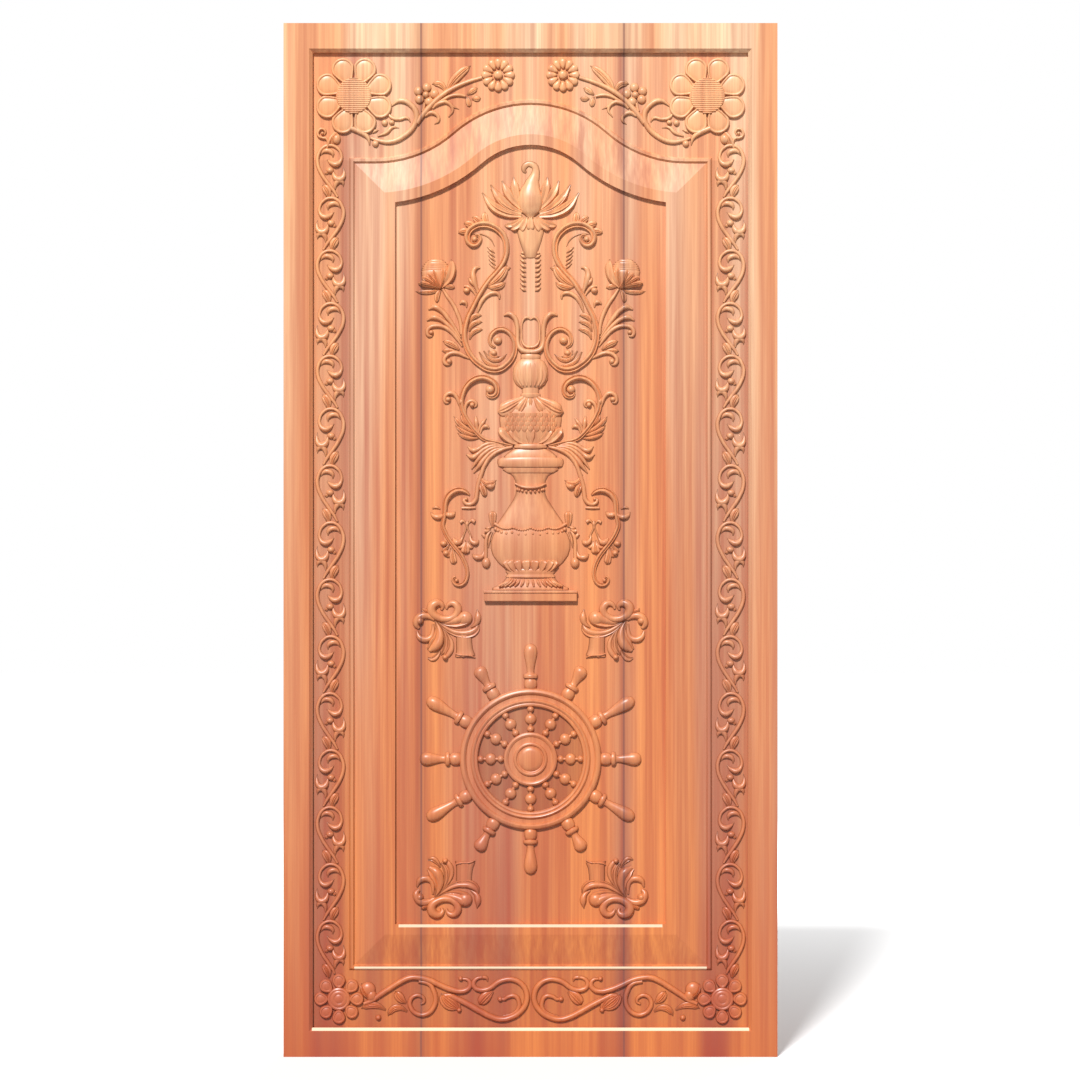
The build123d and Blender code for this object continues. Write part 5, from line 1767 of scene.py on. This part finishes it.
@dataclass
class HingeScrews:
    """Slotted countersunk screws that hold each hinge plate.

    Attributes:
        radius: Radius of a screw's head, in millimetres.
        spacing: Distance between the screws of a plate.
        per_plate: Screws in each plate.
        thickness: Thickness of a screw's head.
        edge: Width of its eased edge.
        slot_width: Width of the driver's slot.
        slot_depth: Depth of the driver's slot.
        stand: How far a head stands out of its plate.
        barrel_to_face: Distance across from the hinge barrel's far side to the plate's free face.
        plate_middle: Distance from the plate's buried edge back to its middle line.
        plate_gap: Smallest distance from one plate up to the next.
    """

    radius: float = 3.6
    spacing: float = 42.0
    per_plate: int = 3
    thickness: float = 1.2
    edge: float = 0.3
    slot_width: float = 0.9
    slot_depth: float = 0.5
    stand: float = 0.15
    barrel_to_face: float = 4.5
    plate_middle: float = 13.0
    plate_gap: float = 200.0

    def build(self) -> None:
        """Set the screws into the face of every plate that shows on the open leaf."""
        for node, body, facing in (("hinge_plates_on_jamb", "frame", 1),
                                   ("hinge_plates_on_leaf", "leaf", -1)):
            low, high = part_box(node)
            inward = self.barrel_to_face + self.stand - self.thickness / 2
            across = (low.x if facing > 0 else high.x) + facing * inward * MM
            depth = low.y + self.plate_middle * MM
            heads = []
            for z in self.heights(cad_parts[node]):
                for k in range(self.per_plate):
                    up = (k - (self.per_plate - 1) / 2) * self.spacing * MM
                    heads.append(self.screw(Vector((across, depth, z + up)), facing))
            screws = join(heads, "hinge_screws_" + body)
            dress(screws, FINISHES.metal(HINGE_BRASS))
            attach(screws, body)
            log.info("%s set with %d faces", screws.name, len(screws.data.polygons))

    def heights(self, plates: bpy.types.Object) -> list[float]:
        """Give the middle height of each plate.

        Args:
            plates: The CAD node that holds all the plates.

        Returns:
            The heights, from the foot up.
        """
        levels = sorted(round((plates.matrix_world @ vertex.co).z, 4)
                        for vertex in plates.data.vertices)
        groups = [[levels[0]]]
        for level in levels:
            if level - groups[-1][-1] > self.plate_gap * MM:
                groups.append([])
            groups[-1].append(level)
        return [(group[0] + group[-1]) / 2 for group in groups]

    def screw(self, place: Vector, facing: int) -> bpy.types.Object:
        """Turn one screw head and cut its slot.

        Args:
            place: Where the head's middle goes.
            facing: 1 where it looks along X, and -1 where it looks the other way.

        Returns:
            The screw head.
        """
        bpy.ops.object.select_all(action="DESELECT")
        bpy.ops.mesh.primitive_cylinder_add(vertices=32, radius=self.radius * MM,
                                            depth=self.thickness * MM)
        head = bpy.context.object
        ease_edges(head, self.edge, 2)
        bpy.ops.mesh.primitive_cube_add(size=1)
        slot = bpy.context.object
        slot.data.transform(Matrix.Diagonal((3 * self.radius * MM, self.slot_width * MM,
                                             2 * self.slot_depth * MM, 1)))
        slot.data.transform(Matrix.Translation(Vector((0, 0, facing * self.thickness / 2 * MM))))
        cut = head.modifiers.new("slot", "BOOLEAN")
        cut.operation = "DIFFERENCE"
        cut.object = slot
        bpy.context.view_layer.objects.active = head
        bpy.ops.object.modifier_apply(modifier="slot")
        bpy.data.objects.remove(slot)
        head.data.transform(Matrix.Rotation(math.radians(90), 4, "Y"))
        head.data.transform(Matrix.Translation(place))
        return head


def ease_edges(form: bpy.types.Object, width: float, steps: int) -> None:
    """Round off the edges of the active object.

    Args:
        form: The object.
        width: Width of the rounding, in millimetres.
        steps: Steps across it.
    """
    edge = form.modifiers.new("eased_edges", "BEVEL")
    edge.width = width * MM
    edge.segments = steps
    bpy.ops.object.modifier_apply(modifier="eased_edges")


class LampKind(Enum):
    """The kinds of lamp in the studio."""

    SUN = "SUN"
    PANEL = "AREA"


@dataclass(frozen=True)
class Lamp:
    """One lamp of the studio.

    Attributes:
        name: Name of the lamp.
        kind: Its kind.
        place: Where it hangs, in metres.
        aim: What it points at.
        size: Its angle for a sun, and its width in metres for a panel.
        power: Its strength.
    """

    name: str
    kind: LampKind
    place: tuple[float, float, float]
    aim: tuple[float, float, float]
    size: float
    power: float

    def hang(self) -> None:
        """Hang the lamp."""
        lamp = bpy.data.lights.new(self.name, self.kind.value)
        if self.kind is LampKind.SUN:
            lamp.angle = self.size
        else:
            lamp.size = self.size
        lamp.energy = self.power
        holder = bpy.data.objects.new(self.name, lamp)
        bpy.context.collection.objects.link(holder)
        holder.location = self.place
        towards = Vector(self.aim) - Vector(self.place)
        holder.rotation_euler = towards.to_track_quat("-Z", "Y").to_euler()
        log.info("%s hung", self.name)


@dataclass
class Studio:
    """Pale floor, white surroundings, soft lamps and the camera in front of the door.

    Attributes:
        distance: How far the camera stands from the door's front, in metres.
        door_pixels: Height of the door in the picture, in pixels.
        picture_pixels: Height of the picture, in pixels.
        middle_pixel: Where the middle of the door falls in the picture.
        sensor: Size of the camera's sensor, in millimetres.
        floor_size: Size of the floor, in metres.
        floor_colour: Colour of the floor where it is looked at.
        floor_bounce: Colour of the floor in the light that it throws back on the door.
        floor_roughness: Roughness of the floor.
        fill: Strength of the surroundings' light on the door.
        lamps: The lamps.
    """

    distance: float = 7.0
    door_pixels: float = 1034.0
    picture_pixels: float = 1080.0
    middle_pixel: Point = (530.5, 540.0)
    sensor: float = 36.0
    floor_size: float = 40.0
    floor_colour: Colour = (0.94, 0.94, 0.94)
    floor_bounce: Colour = (0.3, 0.29, 0.28)
    floor_roughness: float = 0.9
    fill: float = 0.23
    lamps: tuple[Lamp, ...] = (
        Lamp("high_sun", LampKind.SUN, (-0.5, -2.1, 1.75), (0, 0, 0), math.radians(7), 4.2),
        Lamp("back_lamp", LampKind.PANEL, (1.5, 4.5, 3.0), (0, 0, 1.0), 3.0, 160.0),
    )

    def build(self) -> None:
        """Set up the whole studio."""
        self.floor()
        for lamp in self.lamps:
            lamp.hang()
        self.world()
        self.camera()

    def floor(self) -> None:
        """Lay the pale floor, which looks white to the camera."""
        bpy.ops.object.select_all(action="DESELECT")
        bpy.ops.mesh.primitive_plane_add(size=self.floor_size, location=(0, 0, 0))
        floor = bpy.context.object
        floor.name = "studio_floor"
        material = bpy.data.materials.new("pale_floor")
        wiring = Wiring(material)
        seen = wiring.tree.nodes["Principled BSDF"]
        wiring.feed(seen, {"Base Color": (*self.floor_colour, 1.0), "Specular IOR Level": 0.0,
                           "Roughness": self.floor_roughness})
        bounce = wiring.make("BsdfDiffuse", {"Color": (*self.floor_bounce, 1.0)})
        wiring.show(bounce.outputs[0], seen.outputs[0], "Material Output")
        floor.data.materials.append(material)
        log.info("%s laid", floor.name)

    def world(self) -> None:
        """Make the surroundings white to the camera and a soft fill to the door."""
        world = bpy.data.worlds.new("studio")
        bpy.context.scene.world = world
        wiring = Wiring(world)
        white = (1.0, 1.0, 1.0, 1.0)
        fill = wiring.tree.nodes["Background"]
        wiring.feed(fill, {"Color": white, "Strength": self.fill})
        seen = wiring.make("Background", {"Color": white, "Strength": 1.0})
        wiring.show(fill.outputs[0], seen.outputs[0], "World Output")

    def camera(self) -> None:
        """Stand the camera straight in front, so that the door fills the picture."""
        low, high = Vector(CAD_BOX[0]), Vector(CAD_BOX[1])
        data = bpy.data.cameras.new("front_camera")
        camera = bpy.data.objects.new("front_camera", data)
        bpy.context.collection.objects.link(camera)
        view_height = (high.z - low.z) * self.picture_pixels / self.door_pixels
        pixel = view_height / self.picture_pixels
        data.sensor_fit = "VERTICAL"
        data.sensor_height = self.sensor
        data.sensor_width = self.sensor
        data.lens = self.sensor * self.distance / view_height
        data.clip_end = 100.0
        x = (self.picture_pixels / 2 - self.middle_pixel[0]) * pixel
        z = (high.z + low.z) / 2 + (self.middle_pixel[1] - self.picture_pixels / 2) * pixel
        camera.location = (x, low.y - self.distance, z)
        camera.rotation_euler = (math.radians(90), 0, 0)
        bpy.context.scene.camera = camera


def main() -> None:
    """Build the door's looks round its CAD frame."""
    logging.basicConfig(level=logging.INFO, format="%(name)s: %(message)s")
    bpy.context.scene.view_settings.view_transform = "Standard"
    Timbers().build()
    for ornament in (BorderScrolls, CornerRosettes, CornerSprays, FootRosettes, FootScrolls,
                     Finial, UpperArms, Lyre, VaseBulb, MiddleArms, LowerArms, Urn, CarvedWheel,
                     LeafClusters):
        ornament().build()
    HingeScrews().build()
    for section in Section:
        bpy.data.objects.remove(section_curve(section))
    Studio().build()


if __name__ == "__main__":
    main()
